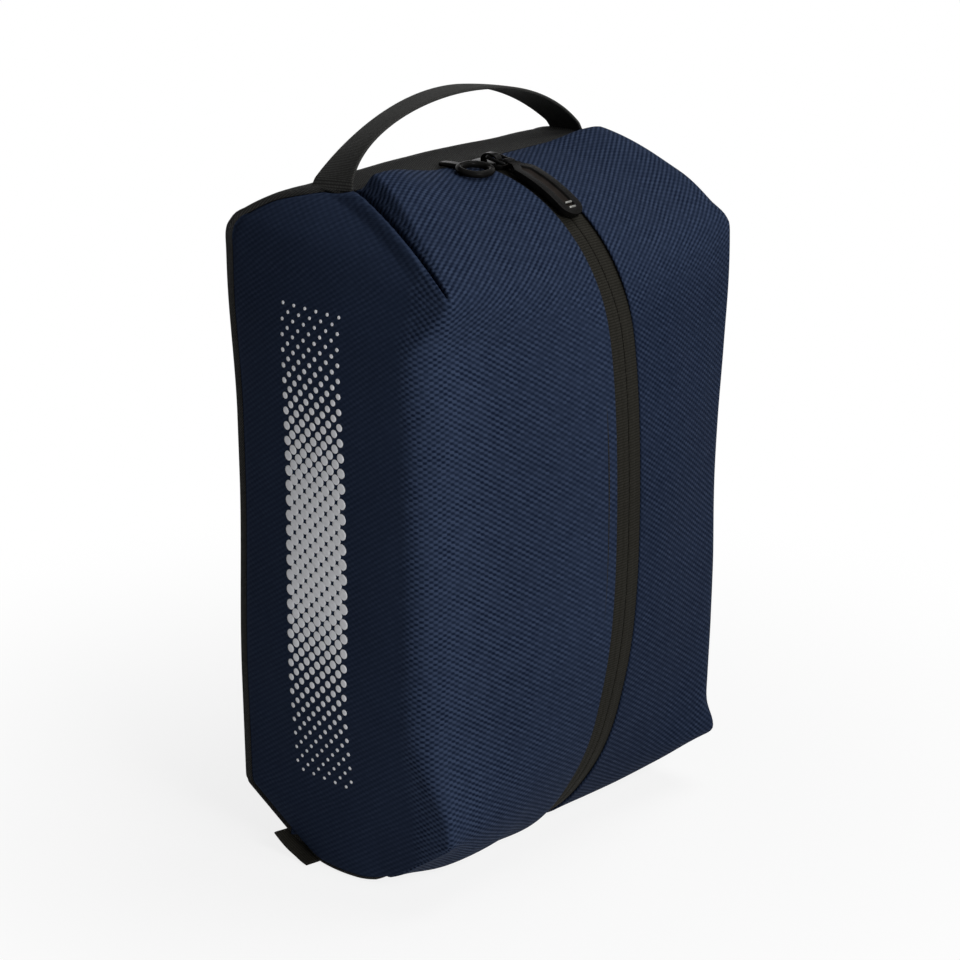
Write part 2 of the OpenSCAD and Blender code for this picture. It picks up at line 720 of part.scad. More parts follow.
// Moulded finger loop that lies on the left top panel, with a tail to the ridge seam
module finger_loop() {
    round_r = loop_w / 2 - loop_rod_r;
    straight = (loop_l - loop_w) / 2;
    loop_low_r = shoulder_r + run_gap;
    rest_r = loop_low_r + loop_rod_r;
    tail_t = loop_rod_r * 1.3;
    tail_turn = loop_turn - round_r / rest_r * 180 / PI;
    color(moulded_black) {
        on_shoulder(loop_turn)
            translate([-loop_left, 0, rest_r])
                for (side = [-1, 1]) {
                    translate([side * straight, 0, 0])
                        rotate([0, 0, -90 * side])
                            rotate_extrude(angle = 180)
                                translate([round_r, 0]) circle(r = loop_rod_r);
                    translate([-straight, side * round_r, 0])
                        rotate([0, 90, 0]) cylinder(r = loop_rod_r, h = 2 * straight);
                }
        on_shoulder(0)
            arc_strip(loop_low_r, loop_low_r + tail_t, -loop_left - tail_w / 2, -loop_left + tail_w / 2,
                ridge_turn, tail_turn);
    }
}

// Woven side label, folded and sewn into the lower left seam
module side_label() {
    seam = back_low - base_rear;
    color(tape_black)
        translate(base_rear + label_start * unit(seam))
            rotate([atan2(seam[2], seam[1]), 0, 0])
                rotate([0, -label_droop, 0])
                    translate([-label_out, 0, -label_t / 2])
                        cube([label_out - run_gap, label_l, label_t]);
}

side_panel(false);  // left_side_panel
top_panel(false);  // left_top_panel
front_flap(false);  // left_front_flap
lower_panel(false);  // left_lower_panel
side_panel(true);  // right_side_panel
top_panel(true);  // right_top_panel
front_flap(true);  // right_front_flap
lower_panel(true);  // right_lower_panel
top_yoke();
back_panel();
base_panel();
seam_binding(false);  // left_seam_binding
seam_binding(true);  // right_seam_binding
upper_tape(false);  // left_upper_tape
upper_tape(true);  // right_upper_tape
flap_tape(false);  // left_flap_tape
flap_tape(true);  // right_flap_tape
lower_tape(false);  // left_lower_tape
lower_tape(true);  // right_lower_tape
upper_coil(false);  // left_upper_coil
upper_coil(true);  // right_upper_coil
flap_coil(false);  // left_flap_coil
flap_coil(true);  // right_flap_coil
lower_coil(false);  // left_lower_coil
lower_coil(true);  // right_lower_coil
zip_top_stops();
zip_bottom_stop();
slider_body();
slider_bridge();
pull_bail();
zip_puller();
handle_webbing();
handle_feet();
finger_loop();
side_label();
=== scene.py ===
"""Golf shoe bag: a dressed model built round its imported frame."""

import math
from collections import namedtuple
from functools import cache

import bmesh
import bpy
import numpy as np
from bpy.props import FloatProperty, FloatVectorProperty, PointerProperty
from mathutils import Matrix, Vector, noise
from mathutils.bvhtree import BVHTree


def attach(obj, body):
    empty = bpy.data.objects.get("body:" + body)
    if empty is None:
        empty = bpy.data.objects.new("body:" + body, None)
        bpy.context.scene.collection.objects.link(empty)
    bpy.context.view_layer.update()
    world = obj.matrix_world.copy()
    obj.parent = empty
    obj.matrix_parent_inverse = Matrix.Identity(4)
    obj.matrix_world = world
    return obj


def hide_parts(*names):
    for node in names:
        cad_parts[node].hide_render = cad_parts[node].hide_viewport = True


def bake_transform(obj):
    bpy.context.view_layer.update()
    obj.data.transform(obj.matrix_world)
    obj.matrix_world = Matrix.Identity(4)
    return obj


bl_info = {
    "name": "Golf shoe bag",
    "version": (1, 0, 0),
    "blender": (4, 5, 0),
    "location": "View3D > Sidebar > Shoe bag",
    "description": "Sews a zipped golf shoe bag round its packed frame",
    "category": "Add Mesh",
}

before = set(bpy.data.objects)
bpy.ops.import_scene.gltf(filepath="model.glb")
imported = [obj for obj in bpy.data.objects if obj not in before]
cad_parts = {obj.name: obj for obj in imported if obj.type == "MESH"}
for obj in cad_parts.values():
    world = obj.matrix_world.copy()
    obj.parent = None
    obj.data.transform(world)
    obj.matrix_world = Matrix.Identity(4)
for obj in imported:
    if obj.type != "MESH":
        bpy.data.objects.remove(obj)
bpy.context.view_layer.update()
LEFT, RIGHT = 1, -1
SIDES = ((LEFT, "left"), (RIGHT, "right"))
ACROSS = np.array([1.0, 0, 0])
WHITE = (1, 1, 1, 1)

# Rows of the panel grid, counted from the ridge, where its parts begin: corner, flap, toe, under, end
CORNER_ROW, FLAP_ROW, FLAP_END_ROW, UNDER_ROW, LAST_ROW = 10, 15, 25, 28, 35
# Row at which each front half is cut into an upper and a lower piece
SPLIT_ROW = 20
# Rows at which the back edge comes to its upper corner and leaves it
BACK_STRAIGHT, BACK_CORNER = 7, 9
# Rows at which the black yoke ends and the black base begins
YOKE_END_ROW, BASE_START_ROW = 8, 30
# Close rows and columns beside a seam, in shares of a row or in metres
SEAM_ROWS = (0.0, 0.04, 0.09, 0.16, 0.25, 0.36)
SEAM_COLS = (0.0, 0.0004, 0.0009, 0.0016, 0.0026, 0.0042)
# Steps of the grid across the side, round the fold and across the front, and how much they crowd the fold
SIDE_COLS, ROUND_COLS, FRONT_COLS = 46, 14, 44
CROWDING = 1.35
# Height at which the front eases furthest behind its arc, and the reach of that above and below
EASE_MIDDLE, EASE_REACH = 0.192, 0.095
# How each front fold stands: puff of its crease off the side, its setback, the lengths of side and front
# fabric that round it, where it begins to soften below the upper dart, and how fast it does so there and
# above the lower dart
Fold = namedtuple("Fold", "out back side front top_start top_reach low_reach")
FOLDS = {
    LEFT: Fold(0.008, 0.011, 0.012, 0.012, 0.0, 0.031, 0.062),
    RIGHT: Fold(0.0, 0.0, 0.024, 0.018, 0.020, 0.120, 0.018),
}
# Two heights for each front half, above and below the split, at which points of the middle line are taken
UPPER_TURN = (0.292, 0.196)
LOWER_TURN = (0.052, 0.150)


def number(name, description, default, **more):
    """A number for a property group."""
    return FloatProperty(name=name, description=description, default=default, **more)


def length(name, description, default):
    """A size in metres for a property group."""
    return number(name, description, default, unit="LENGTH", subtype="DISTANCE", precision=4)


def degrees(name, description, default):
    """An angle for a property group, given here in degrees."""
    return number(name, description, math.radians(default), unit="ROTATION", subtype="ANGLE")


def colour(name, description, default):
    """A linear colour for a property group."""
    return FloatVectorProperty(
        name=name, description=description, default=default, size=3, min=0, max=1, subtype="COLOR"
    )


class BagSizes(bpy.types.PropertyGroup):
    """Cut of the bag's body."""

    bag_w: length("Bag width", "Width of the front, fold to fold", 0.210)
    bag_d: length("Bag depth", "Depth of the sides, front fold to back seam", 0.142)
    ridge_h: length("Ridge height", "Height of the ridge seam above the ground", 0.3425)
    ridge_w: length("Ridge length", "Length of the ridge seam between the handle ends", 0.168)
    ridge_back: length("Ridge setback", "Ridge seam behind mid-depth", 0.008)
    front_drop: length("Front corner fall", "Fall of the upper front corners below the ridge", 0.0355)
    front_low_h: length("Lower corner height", "Height of the lower front corners", 0.035)
    back_drop: length("Back corner fall", "Fall of the upper back corners below the ridge", 0.019)
    back_low_h: length("Lower back height", "Height of the lower back corners", 0.030)
    back_w: length("Back width", "Width of the back at its upper corners", 0.209)
    base_w: length("Base width", "Width of the base", 0.202)
    base_front: length("Base front", "Flat of the base in front of mid-depth", 0.022)
    base_back: length("Base back", "Flat of the base behind mid-depth", 0.030)
    toe_round: length("Toe rounding", "Length of fabric that rounds the front edge of the base", 0.016)
    heel_round: length("Heel rounding", "Length of fabric that rounds the rear edge of the base", 0.013)
    wall: length("Wall", "Thickness of the fabric with its lining", 0.0015)
    wrap: length("Back wrap", "Reach of the black back panel round onto each side", 0.0050)
    side_swell: length("Side swell", "Outward swell of each side panel", 0.004)
    back_swell: length("Back swell", "Outward swell of the back panel", 0.003)
    yoke_swell: length("Yoke swell", "Upward swell of the top yoke", 0.002)
    corner_flare: length("Corner flare", "Outward flare of the upper and lower back corners", 0.0022)
    dart_bow: length("Dart bow", "Upward bow of the upper darts", 0.004)
    seam_bow: length("Seam bow", "Upward bow of the yoke's side seams", 0.002)
    dart_cut: length("Dart rounding", "Length of fabric that rounds a dart", 0.003)
    back_cut: length("Back rounding", "Length of seam that rounds each upper back corner", 0.010)
    base_cut: length("Lower back rounding", "Length of seam that rounds each lower back corner", 0.003)
    shoulder_r: length("Shoulder radius", "Radius of the zip line over the shoulder", 0.088)
    shoulder_front: length("Shoulder advance", "Middle of the shoulder arc in front of mid-depth", 0.001)
    front_r: length("Front radius", "Radius of the zip line down the front", 0.426)
    front_ease: length("Front ease", "Setback of the middle of the front from its arc", 0.003)
    front_fall: number("Front fall", "Power by which the front falls away from its zip", 1.5, min=1, max=2)
    toe_r: length("Toe radius", "Radius of the zip line at the toe", 0.138)
    toe_back: length("Toe setback", "Middle of the toe arc behind mid-depth", 0.0524)
    toe_sink: length("Toe sink", "Depth by which the toe arc would reach below the ground", 0.028)
    seam_dip: length("Seam dip", "Depth of the valley that a seam pulls into the fabric", 0.0011)
    dart_dip: length("Dart dip", "Depth of the groove that a dart pulls into the fabric", 0.0044)
    edge_roll: length("Edge roll", "Stand of the black panel's rolled edge over its corner", 0.0022)
    left_puff: length("Left puff", "Puff of the left top panel beside the handle", 0.0075)
    right_puff: length("Right puff", "Puff of the right top panel along its dart", 0.0055)
    low_puff: length("Low puff", "Puff of the lower panels under the front edge", 0.0035)
    toe_puff: length("Toe puff", "Puff of the left lower panel beside the zip", 0.0020)
    corner_sag: length("Corner sag", "Sag of the lower right front corner", 0.005)
    dart_roll: length("Dart roll", "Roll of the side panel's fabric beside its upper dart", 0.0026)
    pucker: length("Pucker", "Height of the small puckers along the upper darts", 0.0004)
    ripple: length("Ripple", "Height of the soft unevenness of the cloth", 0.0009)


class TrimSizes(bpy.types.PropertyGroup):
    """Zip, handle, loop and label."""

    zip_w: length("Zip width", "Width of zip that shows between the fabric edges", 0.0195)
    tape_under: length("Tape margin", "Width of each tape that is sewn under the fabric", 0.00525)
    tape_gap: length("Tape gap", "Gap between the two tapes", 0.0012)
    tape_t: length("Tape thickness", "Thickness of the tapes", 0.0008)
    tape_seat: length("Tape seat", "Depth of the tape below the lining", 0.0005)
    coil_w: length("Coil width", "Width of each coil", 0.0028)
    coil_t: length("Coil height", "Height of each coil", 0.002)
    coil_pitch: length("Coil pitch", "Length of one turn of a coil", 0.0015)
    slider_l: length("Slider length", "Length of the slider", 0.019)
    slider_w: length("Slider width", "Width of the slider", 0.012)
    plate_t: length("Plate thickness", "Thickness of the slider's plates", 0.002)
    run_gap: length("Running gap", "Clearance of the slider and the puller", 0.00035)
    slider_turn: degrees("Slider turn", "Turn of the slider from the top of the shoulder arc", 1.8)
    bridge_w: length("Bridge width", "Width of the slider's bridge", 0.0044)
    bridge_l: length("Bridge length", "Length of the slider's bridge", 0.011)
    bridge_h: length("Bridge height", "Height of the bridge above its plate", 0.0049)
    wire_r: length("Bail wire radius", "Radius of the bail's wire", 0.0009)
    bail_l: length("Bail length", "Length of the bail between its two bars", 0.011)
    pull_l: length("Puller length", "Length of the puller", 0.049)
    pull_w: length("Puller width", "Width of the puller", 0.014)
    neck_w: length("Neck width", "Width of the puller's neck", 0.006)
    pull_t: length("Puller thickness", "Thickness of the puller", 0.0028)
    web_w: length("Webbing width", "Width of the handle's webbing", 0.024)
    strap_t: length("Webbing thickness", "Thickness of the handle's webbing", 0.0016)
    handle_rise: length("Handle rise", "Rise of the handle above the ridge seam", 0.031)
    loop_l: length("Loop length", "Length of the finger loop, across the bag", 0.020)
    loop_w: length("Loop breadth", "Breadth of the finger loop", 0.018)
    loop_rod_r: length("Loop rod radius", "Radius of the loop's moulded rod", 0.00175)
    loop_left: length("Loop offset", "Middle of the loop, left of the zip line", 0.022)
    loop_turn: degrees("Loop turn", "Turn of the loop from the top of the shoulder arc", 7.5)
    label_l: length("Label length", "Length of the side label along its seam", 0.0265)
    label_low: length("Label foot", "Reach of the side label round the heel, below its seam", 0.0095)
    label_out: length("Label reach", "Reach of the side label out of its seam", 0.008)
    binding_w: length("Binding reach", "Reach of the bound seam allowance into the bag", 0.007)
    binding_t: length("Binding thickness", "Thickness of the bound seam allowance", 0.0014)
    print_low: length("Print foot", "Height of the lower end of the side print", 0.050)
    print_high: length("Print head", "Height of the upper end of the side print", 0.292)
    print_y: length("Print place", "Middle of the side print behind mid-depth", 0.0105)
    print_pitch: length("Print pitch", "Spacing of the dots of the side print", 0.0076)


class BagColours(bpy.types.PropertyGroup):
    """Colours of the cloth, the trim and the print."""

    navy_light: colour("Navy thread", "Raised threads of the navy weave", (0.032, 0.047, 0.088))
    navy_dark: colour("Navy ground", "Ground between the raised navy threads", (0.0030, 0.0062, 0.0165))
    black_light: colour("Black thread", "Raised threads of the black cloth", (0.055, 0.055, 0.053))
    black_dark: colour("Black ground", "Ground of the black cloth", (0.010, 0.010, 0.010))
    webbing_light: colour("Webbing thread", "Raised threads of the handle's webbing", (0.050, 0.050, 0.048))
    webbing_dark: colour("Webbing ground", "Ground of the handle's webbing", (0.018, 0.018, 0.017))
    tape_light: colour("Tape thread", "Raised threads of the zip tape", (0.0235, 0.0222, 0.0180))
    tape_dark: colour("Tape ground", "Ground of the zip tape", (0.010, 0.0094, 0.0076))
    lining: colour("Lining", "Lining inside the bag", (0.020, 0.021, 0.024))
    moulded: colour("Moulded black", "Puller, loop and coil", (0.0034, 0.0032, 0.0030))
    panel: colour("Puller panel", "Sunk panel of the puller", (0.0095, 0.0072, 0.0060))
    # Painted glint: a bright metallic colour on the grip ribs stands in for the highlights at the black
    # puller's tip
    glint_rib: colour("Grip rib glint", "Bright grip ribs at the puller's tip", (0.16, 0.16, 0.15))
    metal: colour("Slider black", "Enamel of the slider and its bail", (0.0034, 0.0034, 0.0034))
    silver: colour("Print silver", "Film of the side print", (0.93, 0.94, 0.98))


class StageSettings(bpy.types.PropertyGroup):
    """Camera and light."""

    view_turn: degrees("View turn", "Turn of the camera round the bag", -48.766)
    view_rise: degrees("View rise", "Rise of the camera above the horizon", 19.130)
    view_reach: length("View distance", "Distance of the camera from the middle of the bag", 1.5085)
    view_height: length("View height", "Height of the point that the camera turns round", 0.170)
    lens: number("Lens", "Focal length in millimetres", 112.516)
    shift_x: number("Shift across", "Sideways shift of the view", -0.0058)
    shift_y: number("Shift up", "Upward shift of the view", 0.0189)
    key_power: number("Key light", "Power of the key light", 40, unit="POWER")
    top_power: number("Top light", "Power of the top light", 14, unit="POWER")
    fill_power: number("Fill light", "Power of the fill light", 0.8, unit="POWER")
    ambient: number("Ambient", "Brightness of the room round the bag", 0.01, min=0, max=1, subtype="FACTOR")


# Shape of the bag


def lerp(a, b, t):
    """Point a share t of the way from a to b."""
    return a + (b - a) * t


def smooth(t):
    """Soft step from 0 to 1, for a number or an array."""
    t = np.minimum(1.0, np.maximum(0.0, t))
    return t * t * (3 - 2 * t)


def hill(x, foot, rise, top, fall):
    """Soft hill between 0 and 1: up from its foot over a rise, and down again from its top over a fall."""
    return smooth((x - foot) / rise) * (1 - smooth((x - top) / fall))


def bezier(a, b, c, t):
    """Point on the quadratic curve from a to c that leans to b."""
    return (1 - t) ** 2 * a + 2 * t * (1 - t) * b + t * t * c


def cubic(a, b, c, d, t):
    """Point on the curve from a to d that leans to b and then to c."""
    return (1 - t) ** 3 * a + 3 * t * (1 - t) ** 2 * b + 3 * t * t * (1 - t) * c + t**3 * d


def unit(v):
    """Vector of length one, or one per row of an array."""
    v = np.asarray(v, float)
    return v / np.maximum(np.linalg.norm(v, axis=-1, keepdims=True), 1e-12)


def mirrored(points, side):
    """Points of the left half, or the same points on the right."""
    return np.asarray(points, float) * np.array([side, 1, 1])


def run_along(path):
    """Length from the start of a path to each of its points, or the same for each row of a grid."""
    steps = np.linalg.norm(np.diff(path, axis=-2), axis=-1)
    start = np.zeros((*steps.shape[:-1], 1))
    return np.concatenate([start, np.cumsum(steps, axis=-1)], axis=-1)


def paired(u, v):
    """Cloth coordinates of a grid from those across it and those up it."""
    return np.stack(np.broadcast_arrays(u, v), axis=2)


class BagForm:
    """Surface of the left half of the bag, from the same sizes as its solids."""

    def __init__(self, s, trim, fold):
        self.s = s
        self.fold = fold
        self.zip_w = trim.zip_w
        self.front_top_h = s.ridge_h - s.front_drop
        self.back_top_h = s.ridge_h - s.back_drop
        reach = s.ridge_back + s.shoulder_front
        self.shoulder_c = np.array([-s.shoulder_front, s.ridge_h - math.sqrt(s.shoulder_r**2 - reach**2)])
        self.toe_c = np.array([s.toe_back, s.toe_r - s.toe_sink])
        inner_a = s.front_r - s.shoulder_r
        inner_b = s.front_r - s.toe_r
        span = np.linalg.norm(self.toe_c - self.shoulder_c)
        line = (self.toe_c - self.shoulder_c) / span
        along = (inner_a**2 - inner_b**2 + span**2) / (2 * span)
        across = math.sqrt(inner_a**2 - along**2)
        self.front_c = self.shoulder_c + along * line + across * np.array([-line[1], line[0]])
        self.shoulder_end_h = self.front_c[1] + (self.shoulder_c[1] - self.front_c[1]) * s.front_r / inner_a
        self.toe_start_h = self.front_c[1] + (self.toe_c[1] - self.front_c[1]) * s.front_r / inner_b
        margin = 0.0045
        self.flap_hi = self.shoulder_end_h - margin
        self.flap_lo = self.toe_start_h + margin
        self.ridge_turn = -math.asin(reach / s.shoulder_r)
        self.corner_turn = math.acos((self.front_top_h - self.shoulder_c[1]) / s.shoulder_r)
        toe_turn = math.asin((self.toe_c[1] - s.front_low_h) / s.toe_r)
        foot_flare, foot_fall = 0.004, 0.0015
        half_d = s.bag_d / 2
        self.ridge_end = np.array([-s.ridge_w / 2, s.ridge_back, s.ridge_h])
        self.foot_end = self.ridge_end + [-foot_flare, trim.web_w, -foot_fall]
        self.back_top = self.back_at(self.back_top_h)
        self.back_low = self.back_at(s.back_low_h)
        self.front_top = np.array([-s.bag_w / 2, -half_d, self.front_top_h])
        self.front_low = np.array([-s.bag_w / 2, -half_d, s.front_low_h])
        self.base_rear = np.array([-s.base_w / 2, s.base_back, 0.0])
        self.base_fore = np.array([-s.base_w / 2, -s.base_front, 0.0])
        self.back_top_in = self.back_top + s.back_cut * unit(self.foot_end - self.back_top)
        self.back_top_out = self.back_top - [0, 0, s.back_cut]
        self.back_low_in = self.back_low + [0, 0, s.base_cut]
        self.back_low_out = self.back_low + s.base_cut * unit(self.base_rear - self.back_low)
        self.toe_point = np.array([0, self.zip_y(s.front_low_h), s.front_low_h])
        self.toe_aim = self.toe_point + [0, s.front_low_h * math.tan(toe_turn), -s.front_low_h]
        self.toe_end = np.array([0, -s.base_front, 0.0])

    def zip_y(self, z):
        """Depth of the zip line at a height."""
        c, r = self.toe_c, self.s.toe_r
        if z > self.toe_start_h:
            c, r = self.front_c, self.s.front_r
        if z > self.shoulder_end_h:
            c, r = self.shoulder_c, self.s.shoulder_r
        return c[0] - math.sqrt(r * r - (z - c[1]) ** 2)

    def row_h(self, i):
        """Height of a row between the upper and the lower dart."""
        rows = (CORNER_ROW, FLAP_ROW, FLAP_END_ROW, UNDER_ROW)
        return np.interp(i, rows, (self.front_top_h, self.flap_hi, self.flap_lo, self.s.front_low_h))

    def back_edge(self, i):
        """Back edge of the left half at a row."""
        s = self.s
        if i <= BACK_STRAIGHT:
            t = i / BACK_STRAIGHT
            return lerp(self.foot_end, self.back_top_in, t) + [0, 0, s.seam_bow * 4 * t * (1 - t)]
        if i <= BACK_CORNER:
            t = (i - BACK_STRAIGHT) / (BACK_CORNER - BACK_STRAIGHT)
            return bezier(self.back_top_in, self.back_top, self.back_top_out, t)
        if i < CORNER_ROW:
            return lerp(self.back_top_out, self.back_mid(CORNER_ROW), i - BACK_CORNER)
        if i <= UNDER_ROW:
            return self.back_mid(i)
        k = i - UNDER_ROW
        if k < 1:
            return lerp(self.back_mid(UNDER_ROW), self.back_low_in, k)
        if k <= 3:
            return bezier(self.back_low_in, self.back_low, self.back_low_out, (k - 1) / 2)
        return lerp(self.back_low_out, self.base_rear, (k - 3) / (LAST_ROW - UNDER_ROW - 3))

    def back_at(self, z):
        """Back edge at a height, flared outward to its two corners."""
        s = self.s
        t = (z - s.back_low_h) / (self.back_top_h - s.back_low_h)
        flare = s.corner_flare * max(smooth((t - 0.66) / 0.26), smooth((0.56 - t) / 0.36))
        return np.array([-lerp(s.base_w, s.back_w, t) / 2 - flare, s.bag_d / 2 + 0.65 * flare, z])

    def back_mid(self, i):
        """Upright part of the back edge."""
        return self.back_at(self.row_h(i))

    def fold_edge(self, i):
        """Front fold at a row, with its darts above and below."""
        s = self.s
        if i < CORNER_ROW:
            t = i / CORNER_ROW
            return lerp(self.ridge_end, self.front_top, t) + [0, 0, s.dart_bow * 4 * t * (1 - t)]
        if i <= UNDER_ROW:
            return np.array([-s.bag_w / 2, -s.bag_d / 2, self.row_h(i)])
        return lerp(self.front_low, self.base_fore, (i - UNDER_ROW) / (LAST_ROW - UNDER_ROW))

    def on_shoulder(self, turn, r):
        """Point of the shoulder arc at a turn from its top and a radius."""
        y, z = self.shoulder_c
        return np.array([0, y - r * math.sin(turn), z + r * math.cos(turn)])

    def zip_point(self, i):
        """Zip line at a row."""
        if i <= CORNER_ROW:
            turn = lerp(self.ridge_turn, self.corner_turn, i / CORNER_ROW)
            return self.on_shoulder(turn, self.s.shoulder_r)
        if i <= UNDER_ROW:
            z = self.row_h(i)
            ease = self.s.front_ease * max(0.0, 1 - ((z - EASE_MIDDLE) / EASE_REACH) ** 2) ** 2
            return np.array([0, self.zip_y(z) + ease, z])
        return bezier(self.toe_point, self.toe_aim, self.toe_end, (i - UNDER_ROW) / (LAST_ROW - UNDER_ROW))

    def softness(self, i):
        """Softness of the front fold at a row: none along the darts."""
        if i < CORNER_ROW or i > UNDER_ROW:
            return 0.0
        z = self.row_h(i)
        above = smooth((self.front_top_h - z - self.fold.top_start) / self.fold.top_reach)
        return min(above, smooth((z - self.s.front_low_h) / self.fold.low_reach))

    def crease(self, i):
        """Front fold as it stands, puffed out and set back between its two darts."""
        return self.fold_edge(i) + self.softness(i) * np.array([-self.fold.out, self.fold.back, 0])

    def side_point(self, i, u):
        """Point of the side panel: u runs from the back seam to the fold."""
        swell = math.sin(math.pi / 2 * min(1.0, i / CORNER_ROW))
        bulge = self.s.side_swell * swell * math.sin(math.pi * u)
        return lerp(self.back_edge(i), self.crease(i), u) - [bulge, 0, 0]

    def front_point(self, i, t):
        """Point of the front: t runs from the zip line to the fold."""
        f, c = self.crease(i), self.zip_point(i)
        middle = smooth((i - CORNER_ROW) / 4) * smooth((UNDER_ROW - i) / 4)
        fall = t ** lerp(2.0, self.s.front_fall, middle)
        return np.array([f[0] * t, lerp(c[1], f[1], fall), lerp(c[2], f[2], fall)])

    def panel_row(self, i):
        """Points of one row, from the back seam over the fold to the zip."""
        s, f, soft = self.s, self.crease(i), self.softness(i)
        run = np.linalg.norm(f - self.back_edge(i))
        side_cut = lerp(s.dart_cut, self.fold.side, soft)
        front_cut = lerp(s.dart_cut, self.fold.front, soft)
        side_end, front_start = 1 - side_cut / run, 1 + front_cut / f[0]
        front = self.front_point(i, front_start)
        lead = self.side_point(i, 1 - 0.4 * side_cut / run)
        corner = (self.side_point(i, side_end), lead, lerp(f, front, 0.33), front)
        start = self.wrap_share(i)
        near = [start + min(c / run, 0.3) for c in SEAM_COLS]
        places = [(1 - k / SIDE_COLS) ** CROWDING for k in range(1, SIDE_COLS + 1)]
        shares = near + [lerp(side_end, near[-1], place) for place in places]
        row = [self.side_point(self.lowered(i, u), u) for u in shares]
        row += [cubic(*corner, k / ROUND_COLS) for k in range(1, ROUND_COLS)]
        edge = -self.zip_w / 2 / f[0]
        places = [(k / FRONT_COLS) ** CROWDING for k in range(FRONT_COLS + 1)]
        row += [self.front_point(i, lerp(front_start, edge, place)) for place in places]
        return row

    def wrap_at(self, i):
        """Reach of the black panel onto the side at a row: none under the base."""
        return self.s.wrap * (smooth((LAST_ROW - i) / 1.6) + 0.8 * (1 - smooth((i - 1) / 4)))

    def lowered(self, i, u):
        """Row of the side panel moved down beside the handle's foot, where the black yoke wraps over."""
        drop = 1.1 * smooth((1 - u) / 0.55) * (1 - 0.3 * (1 - u))
        return i + drop * max(0.0, 1 - i / 6)

    def wrap_share(self, i):
        """The same reach as a share of the row."""
        return self.wrap_at(i) / np.linalg.norm(self.fold_edge(i) - self.back_edge(i))


FOLD_COL = len(SEAM_COLS) + SIDE_COLS + ROUND_COLS // 2 - 1
# Column beside the flap's hinge, where the front half parts from the side panel
SPLIT_COL = {LEFT: FOLD_COL + ROUND_COLS // 2, RIGHT: FOLD_COL}


def row_places():
    """Rows of the fine grid: close together beside the seams at its two ends."""
    runs = (
        (SEAM_ROWS[-1], CORNER_ROW, 38),
        (CORNER_ROW, FLAP_ROW, 18),
        (FLAP_ROW, SPLIT_ROW, 40),
        (SPLIT_ROW, FLAP_END_ROW, 40),
        (FLAP_END_ROW, UNDER_ROW, 18),
        (UNDER_ROW, LAST_ROW - SEAM_ROWS[-1], 26),
    )
    places = list(SEAM_ROWS[:-1])
    for start, end, steps in runs:
        places += [lerp(start, end, k / steps) for k in range(steps)]
    return places + [LAST_ROW - r for r in reversed(SEAM_ROWS)]


def grid_normals(grid):
    """Outward normals of a grid whose rows run down the bag and columns from back to front."""
    down = np.gradient(grid, axis=0)
    along = np.gradient(grid, axis=1)
    return unit(np.cross(down, along))


def eased(grid, passes, keep_cols=()):
    """The grid with its creases between rows eased, ends kept."""
    held = grid[:, list(keep_cols)].copy()
    for _ in range(passes):
        grid[1:-1] = 0.25 * grid[:-2] + 0.5 * grid[1:-1] + 0.25 * grid[2:]
    if keep_cols:
        grid[:, list(keep_cols)] = held
    return grid


def rounded_base(form, points):
    """Points with the front and rear edge of the base rounded off, in front most of all at the two sides."""
    s = form.s
    height, margin = 0.045, 0.02
    edges = ((-s.base_front, form.front_low, s.toe_round), (s.base_back, form.back_low, s.heel_round))
    for p in points.reshape(-1, 3):
        if p[2] > height + margin:
            continue
        for edge, top, reach in edges:
            place = abs(p[1] - edge)
            if place >= reach:
                continue
            slope = top[2] / abs(top[1] - edge)
            lift = slope * (reach - place) ** 2 / (4 * reach)
            floor = max(0.0, top[2] * (p[1] - edge) / (top[1] - edge))
            if p[1] < 0:
                lift *= min(1.0, abs(p[0]) / (s.base_w / 2)) ** 2
            p[2] += lift * (1 - smooth((p[2] - floor) / height))
    return points


def ripple_at(p):
    """Soft unevenness of the cloth at a place, about -1 to 1."""
    broad = noise.noise(Vector(p) * 17.0 + Vector((3.1, 7.7, 1.9)))
    fine = noise.noise(Vector((p[0] * 42.0, p[1] * 42.0, p[2] * 26.0)) + Vector((9.2, 0.4, 5.5)))
    return broad + 0.45 * fine


